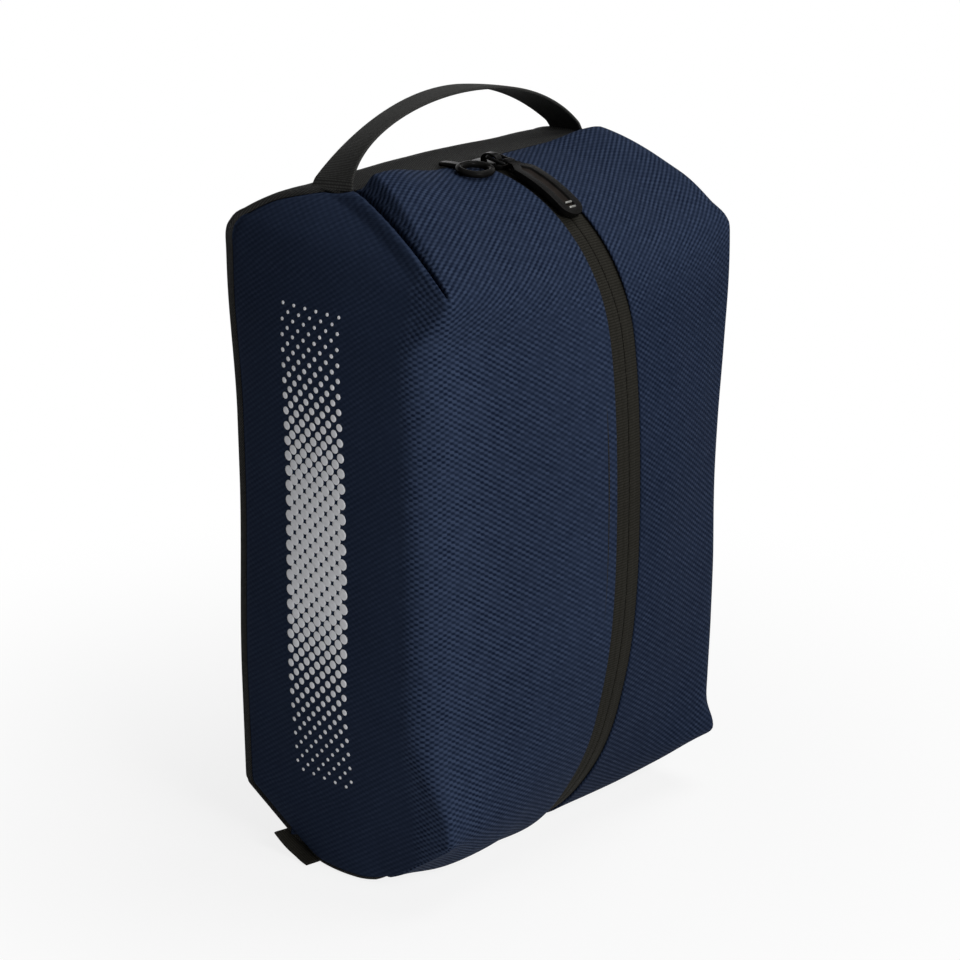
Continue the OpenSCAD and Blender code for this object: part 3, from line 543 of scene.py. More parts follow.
class HalfGrid:
    """Fine grid of one half, drawn on the left, with its normals and its cloth coordinates."""

    def __init__(self, form, side):
        self.rows = row_places()
        grid = np.array([form.panel_row(i) for i in self.rows])
        grid = eased(grid, 5, keep_cols=(0,))
        grid = rounded_base(form, grid)
        self.split = self.rows.index(SPLIT_ROW)
        self.cloth = self.cloth_coordinates(grid)
        lift = np.array([[ripple_at(p) for p in row] for row in grid]) * form.s.ripple
        lift = lift * self.freedom(grid) - self.dip(form.s, grid) + self.puff(form.s, grid, side)
        self.points = grid + grid_normals(grid) * lift[..., None]
        if side == RIGHT:
            self.points[..., 2] -= self.sag(form, grid)
        self.normals = grid_normals(self.points)

    def sag(self, form, grid):
        """Sag of the lower right corner."""
        away = np.linalg.norm((grid - form.front_low) / np.array([0.050, 0.040, 0.026]), axis=2)
        return form.s.corner_sag * np.exp(-(away**2))

    def puff(self, s, grid, side):
        """Puff of the panels beside the darts and the handle, with the small puckers of the darts."""
        i = np.array(self.rows)[:, None]
        run = run_along(grid)
        d = np.abs(run - run[:, [FOLD_COL]])
        fallen = run_along(grid[:, FOLD_COL])[:, None]
        row_run, pucker_wave, drift_wave = 0.009, 960, 170
        top_puff = s.left_puff if side == LEFT else s.right_puff * 0.4
        dart_puff = s.right_puff * (0.5 if side == LEFT else 1.0)
        low_puff, toe_puff, pucker = s.low_puff, s.toe_puff, s.pucker
        if side == RIGHT:
            low_puff, toe_puff, pucker = s.low_puff * 0.6, 0.0, 0.0
        corner = hill(i * row_run, 0, 0.008, 0.018, 0.05)
        beside = hill(i, 0, 1.5, CORNER_ROW - 3.5, 4.0)
        below = hill(i, UNDER_ROW - 1.0, 3.0, LAST_ROW - 1.5, 1.5)
        near, far = hill(d, 0, 0.006, 0.012, 0.055), hill(d, 0, 0.0045, 0.008, 0.035)
        wide, hump = hill(d, 0, 0.030, 0.030, 0.062), hill(d, 0.062, 0.024, 0.088, 0.012)
        front = top_puff * corner * near + dart_puff * beside * far
        front += below * (low_puff * wide + toe_puff * hump)
        roll = s.dart_roll * beside * hill(d, 0, 0.003, 0.004, 0.014)
        gather = np.sin(fallen * pucker_wave + 1.3 * np.sin(fallen * drift_wave))
        puckers = pucker * beside * gather * hill(d, 0, 0.002, 0, 0.014)
        return puckers + np.where(np.arange(grid.shape[1]) < FOLD_COL, roll, front)

    def dip(self, s, grid):
        """Depth of the valleys that the seams and the darts pull."""
        i, j = np.array(self.rows)[:, None], np.arange(grid.shape[1])
        pull = 1 - smooth(np.interp(j, range(len(SEAM_COLS)), SEAM_COLS) / SEAM_COLS[-1])
        for place in (i, LAST_ROW - i):
            pull = np.maximum(pull, 1 - smooth(place / SEAM_ROWS[-1]))
        upper, lower = 1 - smooth((i - CORNER_ROW + 1.0) / 1.3), 0.3 * smooth((i - UNDER_ROW + 0.6) / 1.4)
        groove = np.maximum(upper, lower) * (1 - smooth(np.abs(j - FOLD_COL) / 3.8))
        return np.maximum(pull * s.seam_dip, groove * s.dart_dip)

    def freedom(self, grid):
        """Share of the ripple at each point: none at the seams and beside the zip."""
        rows, cols = grid.shape[:2]
        down = np.minimum(np.arange(rows), np.arange(rows)[::-1]) / 14.0
        side = np.arange(cols) / 12.0
        front = np.arange(cols)[::-1] / 10.0
        return smooth(down)[:, None] * np.minimum(smooth(side), smooth(front))[None, :]

    def cloth_coordinates(self, grid):
        """Place of each point in the flat cloth, in metres: across from the zip, and up along it."""
        run = run_along(grid)
        across = run - run[:, [-1]]
        fallen = run_along(grid[:, -1])
        fold_h = grid[:, FOLD_COL, 2]
        along = fold_h[self.split] + fallen[self.split] - fallen
        first = self.rows.index(CORNER_ROW)
        last = self.rows.index(UNDER_ROW)
        at_fold = along - along[first] + fold_h[first]
        at_fold[first : last + 1] = fold_h[first : last + 1]
        at_fold[last:] = along[last:] - along[last] + fold_h[last]
        lean = np.clip(across / across[:, [FOLD_COL]], 0, 1) ** 2
        up = along[:, None] * (1 - lean) + at_fold[:, None] * lean
        cloth = paired(across, up)
        held = np.clip(np.arange(len(grid)), first, last)
        side = grid[:, :FOLD_COL]
        fold_across, fold_y = across[held, FOLD_COL][:, None], grid[held, FOLD_COL, 1][:, None]
        cloth[:, :FOLD_COL, 0] = fold_across - side[..., 1] + fold_y
        cloth[:, :FOLD_COL, 1] = side[..., 2]
        return cloth


# Meshes


def linked(name, data):
    """New object of the scene, at the origin."""
    item = bpy.data.objects.new(name, data)
    bpy.context.scene.collection.objects.link(item)
    return item


def link_piece(name, mesh, materials):
    """New piece with its mesh and materials."""
    piece = linked(name, mesh)
    for material in materials:
        mesh.materials.append(material)
    return piece


def mesh_piece(name, verts, faces, uvs, materials, face_slots=None, loop_normals=None):
    """New piece from points, faces and one cloth coordinate per point."""
    mesh = bpy.data.meshes.new(name)
    mesh.from_pydata([tuple(v) for v in verts], [], [tuple(int(k) for k in f) for f in faces])
    mesh.polygons.foreach_set("use_smooth", [True] * len(mesh.polygons))
    if face_slots is not None:
        mesh.polygons.foreach_set("material_index", face_slots)
    layer = mesh.uv_layers.new(name="Cloth")
    corners = np.zeros(len(mesh.loops), dtype=np.int32)
    mesh.loops.foreach_get("vertex_index", corners)
    layer.data.foreach_set("uv", np.asarray(uvs, float)[corners].astype(np.float32).ravel())
    mesh.validate()
    if loop_normals is not None:
        mesh.normals_split_custom_set([tuple(n) for n in loop_normals])
    mesh.update()
    return link_piece(name, mesh, materials)


def grid_faces(rows, cols):
    """Faces of a grid of points that is stored row by row."""
    starts = [i * cols + j for i in range(rows - 1) for j in range(cols - 1)]
    return [[k, k + cols, k + cols + 1, k + 1] for k in starts]


def sheet_piece(name, grid, normals, cloth, wall, side, materials, hem=False):
    """Closed sheet of cloth under a grid of outer points, where asked with a round hem on its last column."""
    rows, cols = grid.shape[:2]
    outer = mirrored(grid.reshape(-1, 3), side)
    facing = mirrored(normals.reshape(-1, 3), side)
    verts = [outer, outer - facing * wall]
    norms = [facing, -facing]
    uvs = [cloth.reshape(-1, 2)] * 2
    faces, slots, flats = [], [], []

    def at(i, j, layer=0):
        return (layer * rows + i) * cols + j

    def add(corners, slot=0, flat=False):
        faces.append(corners if side == LEFT else corners[::-1])
        slots.append(slot)
        # A cut edge is shaded flat on the left; on the right it takes the normals of the cloth
        flats.append(flat and side == LEFT)

    last_i, last_j = rows - 1, cols - 1
    for i in range(last_i):
        for j in range(last_j):
            add([at(i, j), at(i + 1, j), at(i + 1, j + 1), at(i, j + 1)])
            add([at(i, j, 1), at(i, j + 1, 1), at(i + 1, j + 1, 1), at(i + 1, j, 1)], slot=1)
    for j in range(last_j):
        add([at(0, j), at(0, j + 1), at(0, j + 1, 1), at(0, j, 1)], flat=True)
        add([at(last_i, j + 1), at(last_i, j), at(last_i, j, 1), at(last_i, j + 1, 1)], flat=True)
    for i in range(last_i):
        add([at(i + 1, 0), at(i, 0), at(i, 0, 1), at(i + 1, 0, 1)], flat=True)
    if hem:
        verts, norms, uvs = add_hem(verts, norms, uvs, (rows, cols), wall, at, add)
    else:
        for i in range(last_i):
            add([at(i + 1, last_j, 1), at(i, last_j, 1), at(i, last_j), at(i + 1, last_j)], flat=True)
    verts, norms, uvs = np.concatenate(verts), np.concatenate(norms), np.concatenate(uvs)
    loop_normals = []
    for corners, flat in zip(faces, flats):
        if flat:
            a, b, c = (verts[k] for k in corners[:3])
            loop_normals += [unit(np.cross(b - a, c - a))] * len(corners)
        else:
            loop_normals += [norms[k] for k in corners]
    return mesh_piece(name, verts, faces, uvs, materials, slots, loop_normals)


HEM_STEPS = 5


def add_hem(verts, norms, uvs, shape, wall, at, add):
    """Rounded edge of a folded hem along the last column."""
    rows, cols = shape
    outer, facing = verts[0].reshape(rows, cols, 3), norms[0].reshape(rows, cols, 3)
    along = unit(outer[:, -1] - outer[:, -2])
    base = 2 * rows * cols
    ring_v, ring_n = [], []
    for k in range(1, HEM_STEPS):
        a = math.pi * k / HEM_STEPS
        n = facing[:, -1] * math.cos(a) + along * math.sin(a)
        ring_v.append(outer[:, -1] - facing[:, -1] * wall / 2 + n * wall / 2)
        ring_n.append(n)

    def ring(i, k):
        if k == 0:
            return at(i, cols - 1)
        if k == HEM_STEPS:
            return at(i, cols - 1, 1)
        return base + (k - 1) * rows + i

    for k in range(HEM_STEPS):
        for i in range(rows - 1):
            add([ring(i, k), ring(i + 1, k), ring(i + 1, k + 1), ring(i, k + 1)])
    add([ring(0, k) for k in range(HEM_STEPS + 1)], flat=True)
    add([ring(rows - 1, k) for k in reversed(range(HEM_STEPS + 1))], flat=True)
    edge_uv = uvs[0].reshape(rows, cols, 2)[:, -1]
    extra = [edge_uv + np.array([wall * k / 2, 0]) for k in range(1, HEM_STEPS)]
    return verts + ring_v, norms + ring_n, uvs + extra


def swept_piece(name, rings, uvs, materials, closed=False):
    """Piece whose rings of points are joined one after another."""
    rings = np.asarray(rings, float)
    n, m = rings.shape[:2]
    faces = []
    last = n if closed else n - 1
    for i in range(last):
        a, b = i * m, (i + 1) % n * m
        for k in range(m):
            k2 = (k + 1) % m
            faces.append([a + k, a + k2, b + k2, b + k])
    if not closed:
        faces.append(list(range(m))[::-1])
        faces.append([(n - 1) * m + k for k in range(m)])
    piece = mesh_piece(name, rings.reshape(-1, 3), faces, np.asarray(uvs, float).reshape(-1, 2), materials)
    outward(piece)
    return piece


def outward(piece):
    """Faces of a closed piece turned outward, doubles merged."""
    work = bmesh.new()
    work.from_mesh(piece.data)
    bmesh.ops.remove_doubles(work, verts=work.verts, dist=1e-7)
    bmesh.ops.recalc_face_normals(work, faces=work.faces)
    work.to_mesh(piece.data)
    work.free()
    piece.data.update()


def sweep(name, path, profile, upward, materials, closed=False):
    """Piece of one cross-section along a path: profile points are (across, up)."""
    path, profile = np.asarray(path, float), np.asarray(profile, float)
    if closed:
        along = np.roll(path, -1, axis=0) - np.roll(path, 1, axis=0)
    else:
        along = np.gradient(path, axis=0)
    along = unit(along)
    across = unit(np.cross(along, np.broadcast_to(np.asarray(upward, float), path.shape)))
    up = np.cross(across, along)
    rings = path[:, None] + across[:, None] * profile[None, :, :1] + up[:, None] * profile[None, :, 1:]
    uvs = paired(run_along(profile)[None, :], run_along(path)[:, None])
    return swept_piece(name, rings, uvs, materials, closed)


def circle_profile(r, steps):
    """Round cross-section."""
    turns = [2 * math.pi * k / steps for k in range(steps)]
    return [(r * math.cos(a), r * math.sin(a)) for a in turns]


def strip_profile(width, thickness, steps=8, corner=5, crown=0.0):
    """Flat strip with round edges, seen end on, and a slight crown."""
    r = thickness / 2
    half = width / 2 - r

    def lift(x):
        return crown * (1 - (x / (width / 2)) ** 2)

    points = []
    for sign in (1, -1):
        for k in range(steps + 1):
            x = lerp(-sign * half, sign * half, k / steps)
            points.append((x, sign * r + lift(x)))
        for k in range(1, corner):
            a = sign * math.pi / 2 - math.pi * k / corner
            points.append((sign * half + r * math.cos(a), r * math.sin(a) + lift(half)))
    return points


def pick_nothing():
    """Leave nothing selected."""
    if bpy.context.object and bpy.context.object.mode != "OBJECT":
        bpy.ops.object.mode_set(mode="OBJECT")
    bpy.ops.object.select_all(action="DESELECT")


def pick(piece):
    """Leave one piece selected and active."""
    pick_nothing()
    piece.select_set(True)
    bpy.context.view_layer.objects.active = piece


def block(name, size, centre):
    """Cube of a size at a place, ready to be shaped."""
    pick_nothing()
    bpy.ops.mesh.primitive_cube_add(size=1, location=(0, 0, 0))
    piece = bpy.context.object
    piece.name = piece.data.name = name
    bpy.ops.transform.resize(value=size)
    bpy.ops.object.transform_apply(location=False, rotation=False, scale=True)
    bpy.ops.transform.translate(value=centre)
    bpy.ops.object.transform_apply(location=True, rotation=False, scale=False)
    return piece


def choose(piece, kind, test):
    """Select the faces or edges of a piece that pass a test, in edit mode."""
    bpy.ops.object.mode_set(mode="EDIT")
    bpy.ops.mesh.select_all(action="DESELECT")
    work = bmesh.from_edit_mesh(piece.data)
    work.select_mode = {kind}
    for item in work.edges if kind == "EDGE" else work.faces:
        if test(item):
            item.select_set(True)
    work.select_flush_mode()
    bmesh.update_edit_mesh(piece.data)


def bevelled(piece, width, segments, angle=30):
    """Edges of a piece rounded by a bevel."""
    bpy.ops.object.mode_set(mode="OBJECT")
    bpy.context.view_layer.objects.active = piece
    rounding = piece.modifiers.new("Rounding", "BEVEL")
    rounding.width = width
    rounding.segments = segments
    rounding.limit_method = "ANGLE"
    rounding.angle_limit = math.radians(angle)
    bpy.ops.object.modifier_apply(modifier=rounding.name)


def joined(name, pieces):
    """Several shapes as one piece."""
    pick_nothing()
    for piece in pieces:
        piece.select_set(True)
    bpy.context.view_layer.objects.active = pieces[0]
    bpy.ops.object.join()
    pieces[0].name = pieces[0].data.name = name
    return pieces[0]


def soft_edges(piece, angle=38):
    """Smooth shading with crisp edges past an angle."""
    pick(piece)
    bpy.ops.object.shade_smooth_by_angle(angle=math.radians(angle))


def onto_arc(piece, form, turn, radius):
    """A flat shape laid on the shoulder arc: its -Y runs forward along the zip, its Z up from a radius."""
    mesh = piece.data
    for v in mesh.vertices:
        x, y, z = v.co
        p = form.on_shoulder(turn - y / radius, radius + z)
        v.co = (x, p[1], p[2])
    mesh.update()


def dress(piece, body, nodes):
    """A finished piece rides on its body and stands for its solids, which it hides."""
    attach(piece, body)
    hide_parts(*nodes)


# Materials


class NodeBench:
    """Short hand for building a node tree."""

    def __init__(self, tree):
        self.tree = tree

    def new(self, kind, **settings):
        """New node with its settings."""
        node = self.tree.nodes.new(kind)
        for key, value in settings.items():
            setattr(node, key, value)
        return node

    def feed(self, socket, value):
        """Link a socket, or set a plain value."""
        if isinstance(value, bpy.types.NodeSocket):
            self.tree.links.new(value, socket)
        else:
            socket.default_value = value

    def math(self, operation, *values):
        """Result of a Math node."""
        node = self.new("ShaderNodeMath", operation=operation)
        for k, value in enumerate(values):
            self.feed(node.inputs[k], value)
        return node.outputs[0]

    def ramp(self, value, low, high, out_low=0.0, out_high=1.0):
        """Soft change of a value from one range to another."""
        node = self.new("ShaderNodeMapRange", interpolation_type="SMOOTHSTEP", clamp=True)
        keys = ("Value", "From Min", "From Max", "To Min", "To Max")
        for key, item in zip(keys, (value, low, high, out_low, out_high)):
            self.feed(node.inputs[key], item)
        return node.outputs["Result"]

    def mix(self, factor, a, b):
        """Mix of two colours."""
        node = self.new("ShaderNodeMix", data_type="RGBA")
        for key, value in (("Factor", factor), ("A", a), ("B", b)):
            self.feed(node.inputs[key], value)
        return node.outputs["Result"]

    def plain(self, kind, colour):
        """A shader of one plain colour."""
        node = self.new(kind)
        node.inputs["Color"].default_value = colour
        return node.outputs[0]

    def mix_shader(self, factor, a, b):
        """Mix of two shaders."""
        node = self.new("ShaderNodeMixShader")
        for k, value in enumerate((factor, a, b)):
            self.feed(node.inputs[k], value)
        return node.outputs[0]

    def noise(self, vector, scale, detail=3.0, roughness=0.55):
        """Noise value at a vector."""
        node = self.new("ShaderNodeTexNoise", noise_dimensions="3D")
        self.feed(node.inputs["Vector"], vector)
        for key, value in (("Scale", scale), ("Detail", detail), ("Roughness", roughness)):
            node.inputs[key].default_value = value
        return node.outputs["Fac"]

    def xyz(self, vector):
        """The three parts of a vector."""
        node = self.new("ShaderNodeSeparateXYZ")
        self.feed(node.inputs[0], vector)
        return node.outputs

    def vector(self, x, y, z=0.0):
        """Vector from its parts."""
        node = self.new("ShaderNodeCombineXYZ")
        for k, value in enumerate((x, y, z)):
            self.feed(node.inputs[k], value)
        return node.outputs[0]


def new_group(name, inputs, outputs):
    """Empty node group with named float or vector inputs and float outputs."""
    tree = bpy.data.node_groups.new(name, "ShaderNodeTree")
    for key, default in inputs:
        kind = "NodeSocketVector" if default is None else "NodeSocketFloat"
        socket = tree.interface.new_socket(key, in_out="INPUT", socket_type=kind)
        if default is not None:
            socket.default_value = default
    for key in outputs:
        tree.interface.new_socket(key, in_out="OUTPUT", socket_type="NodeSocketFloat")
    bench = NodeBench(tree)
    entry = bench.new("NodeGroupInput")
    leave = bench.new("NodeGroupOutput")
    return bench, entry.outputs, leave.inputs


# Mean light of the birdseye weave, from 0 at its ground to 1 at its threads
MEAN_TONE = 0.47


@cache
def birdseye_group():
    """Staggered raised dots of a birdseye cloth, from two crossing ribs, with threads and odd bright dots."""
    inputs = (
        ("Vector", None),
        ("Repeat across", 0.0044),
        ("Repeat up", 0.00284),
        ("Lean", 0.64),
        ("Contrast", 0.7),
        ("Tone", MEAN_TONE),
    )
    b, i, o = new_group("Birdseye weave", inputs, ("Light", "Height"))
    part = b.xyz(i["Vector"])
    u = b.math("DIVIDE", part[0], i["Repeat across"])
    v = b.math("DIVIDE", part[1], i["Repeat up"])
    rise, fall = b.math("ADD", u, v), b.math("SUBTRACT", u, v)
    wave_a = b.math("COSINE", b.math("MULTIPLY", rise, math.tau))
    wave_b = b.math("COSINE", b.math("MULTIPLY", fall, math.tau))
    rest = b.math("SUBTRACT", 1.0, i["Lean"])
    ribs = b.math("ADD", b.math("MULTIPLY", wave_a, i["Lean"]), b.math("MULTIPLY", wave_b, rest))
    dots = b.ramp(ribs, -0.85, 0.95)
    cell = b.vector(b.math("ROUND", rise), b.math("ROUND", fall))
    odd = b.new("ShaderNodeTexWhiteNoise", noise_dimensions="2D")
    b.feed(odd.inputs["Vector"], cell)
    threads = b.math("COSINE", b.math("MULTIPLY", v, math.tau * 5))
    picks = b.math("COSINE", b.math("MULTIPLY", u, math.tau * 8))
    fine = b.math("MULTIPLY", b.math("ADD", threads, picks), 0.07)
    lit = b.math("MULTIPLY", dots, b.math("MULTIPLY_ADD", odd.outputs["Value"], 0.5, 0.72))
    patch = b.ramp(b.noise(i["Vector"], 110.0), 0.3, 0.7, 0.7, 1.3)
    spread = b.math("MULTIPLY", b.math("SUBTRACT", lit, MEAN_TONE), b.math("MULTIPLY", patch, i["Contrast"]))
    # Tone sets the mean light of the weave; the fronts use it for painted light by the left crease and
    # painted shade over the right front
    b.feed(o["Light"], b.math("ADD", b.math("ADD", spread, i["Tone"]), fine))
    b.feed(o["Height"], b.math("MULTIPLY", b.math("ADD", dots, fine), i["Contrast"]))
    return b.tree


@cache
def plain_group():
    """Over-and-under threads of a plain or ribbed weave."""
    inputs = (("Vector", None), ("Pitch across", 0.0009), ("Pitch up", 0.0009), ("Slip", 0.5))
    b, i, o = new_group("Plain weave", inputs, ("Light", "Height"))
    part = b.xyz(i["Vector"])
    v = b.math("DIVIDE", part[1], i["Pitch up"])
    row = b.math("FLOOR", v)
    u = b.math("ADD", b.math("DIVIDE", part[0], i["Pitch across"]), b.math("MULTIPLY", row, i["Slip"]))
    x = b.math("SUBTRACT", b.math("FRACT", u), 0.5)
    y = b.math("SUBTRACT", b.math("FRACT", v), 0.5)
    square = b.math("ADD", b.math("MULTIPLY", x, x), b.math("MULTIPLY", y, y))
    bead = b.ramp(square, 0.24, 0.02)
    odd = b.new("ShaderNodeTexWhiteNoise", noise_dimensions="2D")
    b.feed(odd.inputs["Vector"], b.vector(b.math("FLOOR", u), row))
    b.feed(o["Light"], b.math("MULTIPLY", bead, b.math("MULTIPLY_ADD", odd.outputs["Value"], 0.5, 0.7)))
    b.feed(o["Height"], bead)
    return b.tree


@cache
def wear_group():
    """Broad cloudy change of tone, for handling and dust."""
    b, i, o = new_group("Handling", (("Vector", None), ("Amount", 0.2)), ("Tone", "Dust"))
    broad = b.noise(i["Vector"], 14.0, 4.0)
    fine = b.noise(i["Vector"], 160.0, 3.0)
    cloud = b.math("SUBTRACT", broad, 0.5)
    b.feed(o["Tone"], b.math("MULTIPLY_ADD", cloud, i["Amount"], 1.0))
    b.feed(o["Dust"], b.ramp(b.math("ADD", broad, b.math("MULTIPLY", fine, 0.5)), 0.7, 1.15))
    return b.tree


def start_material(name):
    """New node material with its bench and shader."""
    material = bpy.data.materials.new(name)
    material.use_nodes = True
    bench = NodeBench(material.node_tree)
    shader = material.node_tree.nodes["Principled BSDF"]
    return material, bench, shader


def placed_group(bench, group, vector, **values):
    """A node group in a material with its own values."""
    node = bench.new("ShaderNodeGroup", node_tree=group)
    bench.feed(node.inputs["Vector"], vector)
    for key, value in values.items():
        bench.feed(node.inputs[key.replace("_", " ")], value)
    return node.outputs


def cloth_vector(bench):
    """Cloth coordinates of the piece."""
    return bench.new("ShaderNodeUVMap", uv_map="Cloth").outputs["UV"]


def object_vector(bench):
    """Object coordinates of the piece."""
    return bench.new("ShaderNodeTexCoord").outputs["Object"]


def bump(bench, shader, height, distance, strength=0.6):
    """Relief from a height, into the shader's normal."""
    node = bench.new("ShaderNodeBump")
    node.inputs["Strength"].default_value = strength
    node.inputs["Distance"].default_value = distance
    bench.feed(node.inputs["Height"], height)
    bench.feed(shader.inputs["Normal"], node.outputs["Normal"])


def rgba(values):
    """Colour with full alpha."""
    return (*values, 1.0)


Finish = namedtuple("Finish", "roughness relief specular sheen")


def cloth_material(name, group, tints, finish, values):
    """Woven cloth: ground and thread colours by the weave, cloudy tone, relief and a little sheen."""
    material, b, shader = start_material(name)
    if callable(values):
        values = values(b)
    dark, light = tints
    smoother, rougher = finish.roughness - 0.05, finish.roughness + 0.12
    weave = placed_group(b, group, cloth_vector(b), **values)
    wear = placed_group(b, wear_group(), object_vector(b), Amount=0.28)
    threads = b.mix(weave["Light"], rgba(dark), rgba(light))
    hsv = b.new("ShaderNodeHueSaturation")
    b.feed(hsv.inputs["Color"], threads)
    b.feed(hsv.inputs["Value"], wear["Tone"])
    b.feed(shader.inputs["Base Color"], hsv.outputs["Color"])
    b.feed(shader.inputs["Roughness"], b.ramp(weave["Light"], 0.0, 1.0, rougher, smoother))
    shader.inputs["Specular IOR Level"].default_value = finish.specular
    shader.inputs["Sheen Weight"].default_value = finish.sheen
    shader.inputs["Sheen Roughness"].default_value = 0.5
    bump(b, shader, weave["Height"], finish.relief)
    return material


# Cloth coordinate of the front crease, across from the zip, and the tone of each half's weave there: painted
# light that brightens the left front by its crease, and painted shade that darkens the right front
CREASE_U = -0.111
CREASE_PAINTED_LIGHT_AND_SHADE = {LEFT: 0.62, RIGHT: 0.33}
# Heights between which the weave of the front goes over into that of the top
TOP_START, TOP_FULL = 0.27, 0.31


def changing(bench, place, start, end, pairs):
    """Values of a weave that change between two places, from the first of each pair to the second."""
    return {key: bench.ramp(place, start, end, *pair) for key, pair in pairs.items()}


def side_weave(side):
    """Maker of the values of a side's weave: flat and dull, but as the front's round the crease, with the
    front's painted light on the left and its painted shade on the right.
    """

    def values(bench):
        across = bench.xyz(cloth_vector(bench))[0]
        pairs = {"Lean": (0.36, 0.5), "Contrast": (0.24, 0.95), "Tone": (MEAN_TONE, CREASE_PAINTED_LIGHT_AND_SHADE[side])}
        return changing(bench, across, CREASE_U - 0.010, CREASE_U + 0.002, pairs)

    return values


def left_weave(bench):
    """Values of the left front's weave: strongest by the crease and brightened there by painted light, its
    ribs turned over on the top.
    """
    across = bench.xyz(cloth_vector(bench))[0]
    height = bench.xyz(object_vector(bench))[2]
    lean = bench.ramp(across, CREASE_U, CREASE_U + 0.036, 0.5, 0.64)
    contrast = bench.ramp(across, CREASE_U, -0.015, 0.95, 0.54)
    # Painted light: the weave's tone is raised by the crease and falls off towards the zip
    tone = bench.ramp(across, CREASE_U + 0.012, CREASE_U + 0.060, CREASE_PAINTED_LIGHT_AND_SHADE[LEFT], 0.48)
    pairs = {"Lean": (lean, 0.30), "Contrast": (contrast, 0.7), "Tone": (tone, 0.49)}
    return changing(bench, height, TOP_START, TOP_FULL, pairs)


def right_weave(bench):
    """The same for the right front, which is cut in mirror image and lies flatter, its weave darkened below
    the top by painted shade.
    """
    height = bench.xyz(object_vector(bench))[2]
    # Painted shade: the right front's tone is lowered below the top
    pairs = {"Lean": (0.36, 0.70), "Contrast": (0.50, 0.65), "Tone": (CREASE_PAINTED_LIGHT_AND_SHADE[RIGHT], 0.50)}
    return changing(bench, height, TOP_START, TOP_FULL, pairs)


Moulding = namedtuple("Moulding", "name tint roughness grain relief specular metallic")


def moulded_material(moulding, tint):
    """Moulded or enamelled black with a fine grain and handling marks."""
    name, _, roughness, grain, relief, specular, metallic = moulding
    material, b, shader = start_material(name)
    place = object_vector(b)
    wear = placed_group(b, wear_group(), place, Amount=0.5)
    fine = b.noise(place, grain, 2.0)
    brighter = tuple(min(1.0, c * 2.0 + 0.002) for c in tint)
    b.feed(shader.inputs["Base Color"], b.mix(wear["Dust"], rgba(tint), rgba(brighter)))
    b.feed(shader.inputs["Roughness"], b.ramp(fine, 0.25, 0.75, roughness - 0.06, roughness + 0.1))
    shader.inputs["Specular IOR Level"].default_value = specular
    shader.inputs["Metallic"].default_value = metallic
    bump(b, shader, fine, relief, 0.35)
    return material


def film_material(name, tint):
    """Heat-pressed silver film that takes up the weave under it."""
    material, b, shader = start_material(name)
    weave = placed_group(b, birdseye_group(), cloth_vector(b))
    place = object_vector(b)
    wear = placed_group(b, wear_group(), place, Amount=0.25)
    dull = tuple(c * 0.8 for c in tint)
    tone = b.math("MULTIPLY", wear["Tone"], b.math("MULTIPLY_ADD", weave["Light"], 0.3, 0.78))
    b.feed(shader.inputs["Base Color"], b.mix(tone, rgba(dull), rgba(tint)))
    b.feed(shader.inputs["Roughness"], b.ramp(weave["Light"], 0.0, 1.0, 0.62, 0.42))
    shader.inputs["Specular IOR Level"].default_value = 0.35
    bump(b, shader, weave["Height"], 0.00012, 0.5)
    return material


NAVY_FINISH = Finish(0.78, 0.0005, 0.03, 0.0)
# Plain woven cloths: name, finish, and the pitches and the slip of the threads
PLAIN_CLOTHS = {
    "black": ("Black cloth", Finish(0.78, 0.0002, 0.06, 0.0), (0.0011, 0.0007, 0.5)),
    "webbing": ("Webbing", Finish(0.72, 0.0002, 0.05, 0.0), (0.0009, 0.0009, 0.5)),
    "tape": ("Zip tape", Finish(0.76, 0.00018, 0.05, 0.0), (0.0009, 0.0014, 0.33)),
    "lining": ("Lining", Finish(0.6, 0.0001, 0.25, 0.03), (0.0007, 0.0007, 0.5)),
    "label": ("Woven label", Finish(0.6, 0.00012, 0.04, 0.0), (0.0005, 0.0012, 0.2)),
}
MOULDINGS = {
    "moulded": Moulding("Moulded rubber", "moulded", 0.24, 900.0, 0.00004, 0.025, 0.0),
    "panel": Moulding("Puller panel", "panel", 0.45, 700.0, 0.00006, 0.02, 0.0),
    "coil": Moulding("Coil", "moulded", 0.35, 1200.0, 0.00002, 0.02, 0.0),
    "metal": Moulding("Slider enamel", "metal", 0.20, 1400.0, 0.00002, 0.05, 0.0),
    # Painted glint: the grip ribs take a bright metallic finish that stands in for highlights on the black
    # moulding
    "glint_rib": Moulding("Grip rib glint", "glint_rib", 0.25, 900.0, 0.00002, 0.5, 0.9),
}
MATERIALS = {}


def make_materials(c):
    """All the finishes of the bag."""
    navy = (c.navy_dark, c.navy_light)
    for (side, word), front_weave in zip(SIDES, (left_weave, right_weave)):
        weaves = (("navy", "", front_weave), ("navy_side", " side", side_weave(side)))
        for key, part, values in weaves:
            name = f"Navy birdseye {word}{part}"
            MATERIALS[key, side] = cloth_material(name, birdseye_group(), navy, NAVY_FINISH, values)
    tints = {
        "black": (c.black_dark, c.black_light),
        "webbing": (c.webbing_dark, c.webbing_light),
        "tape": (c.tape_dark, c.tape_light),
        "lining": (tuple(v * 0.5 for v in c.lining), c.lining),
        "label": (c.tape_dark, c.tape_light),
    }
    for key, (name, finish, threads) in PLAIN_CLOTHS.items():
        values = dict(zip(("Pitch_across", "Pitch_up", "Slip"), threads))
        MATERIALS[key] = cloth_material(name, plain_group(), tints[key], finish, values)
    for key, moulding in MOULDINGS.items():
        MATERIALS[key] = moulded_material(moulding, getattr(c, moulding.tint))
    MATERIALS["film"] = film_material("Silver film", c.silver)


# Operators


# Form and grids that the operators share
SHOP = {}


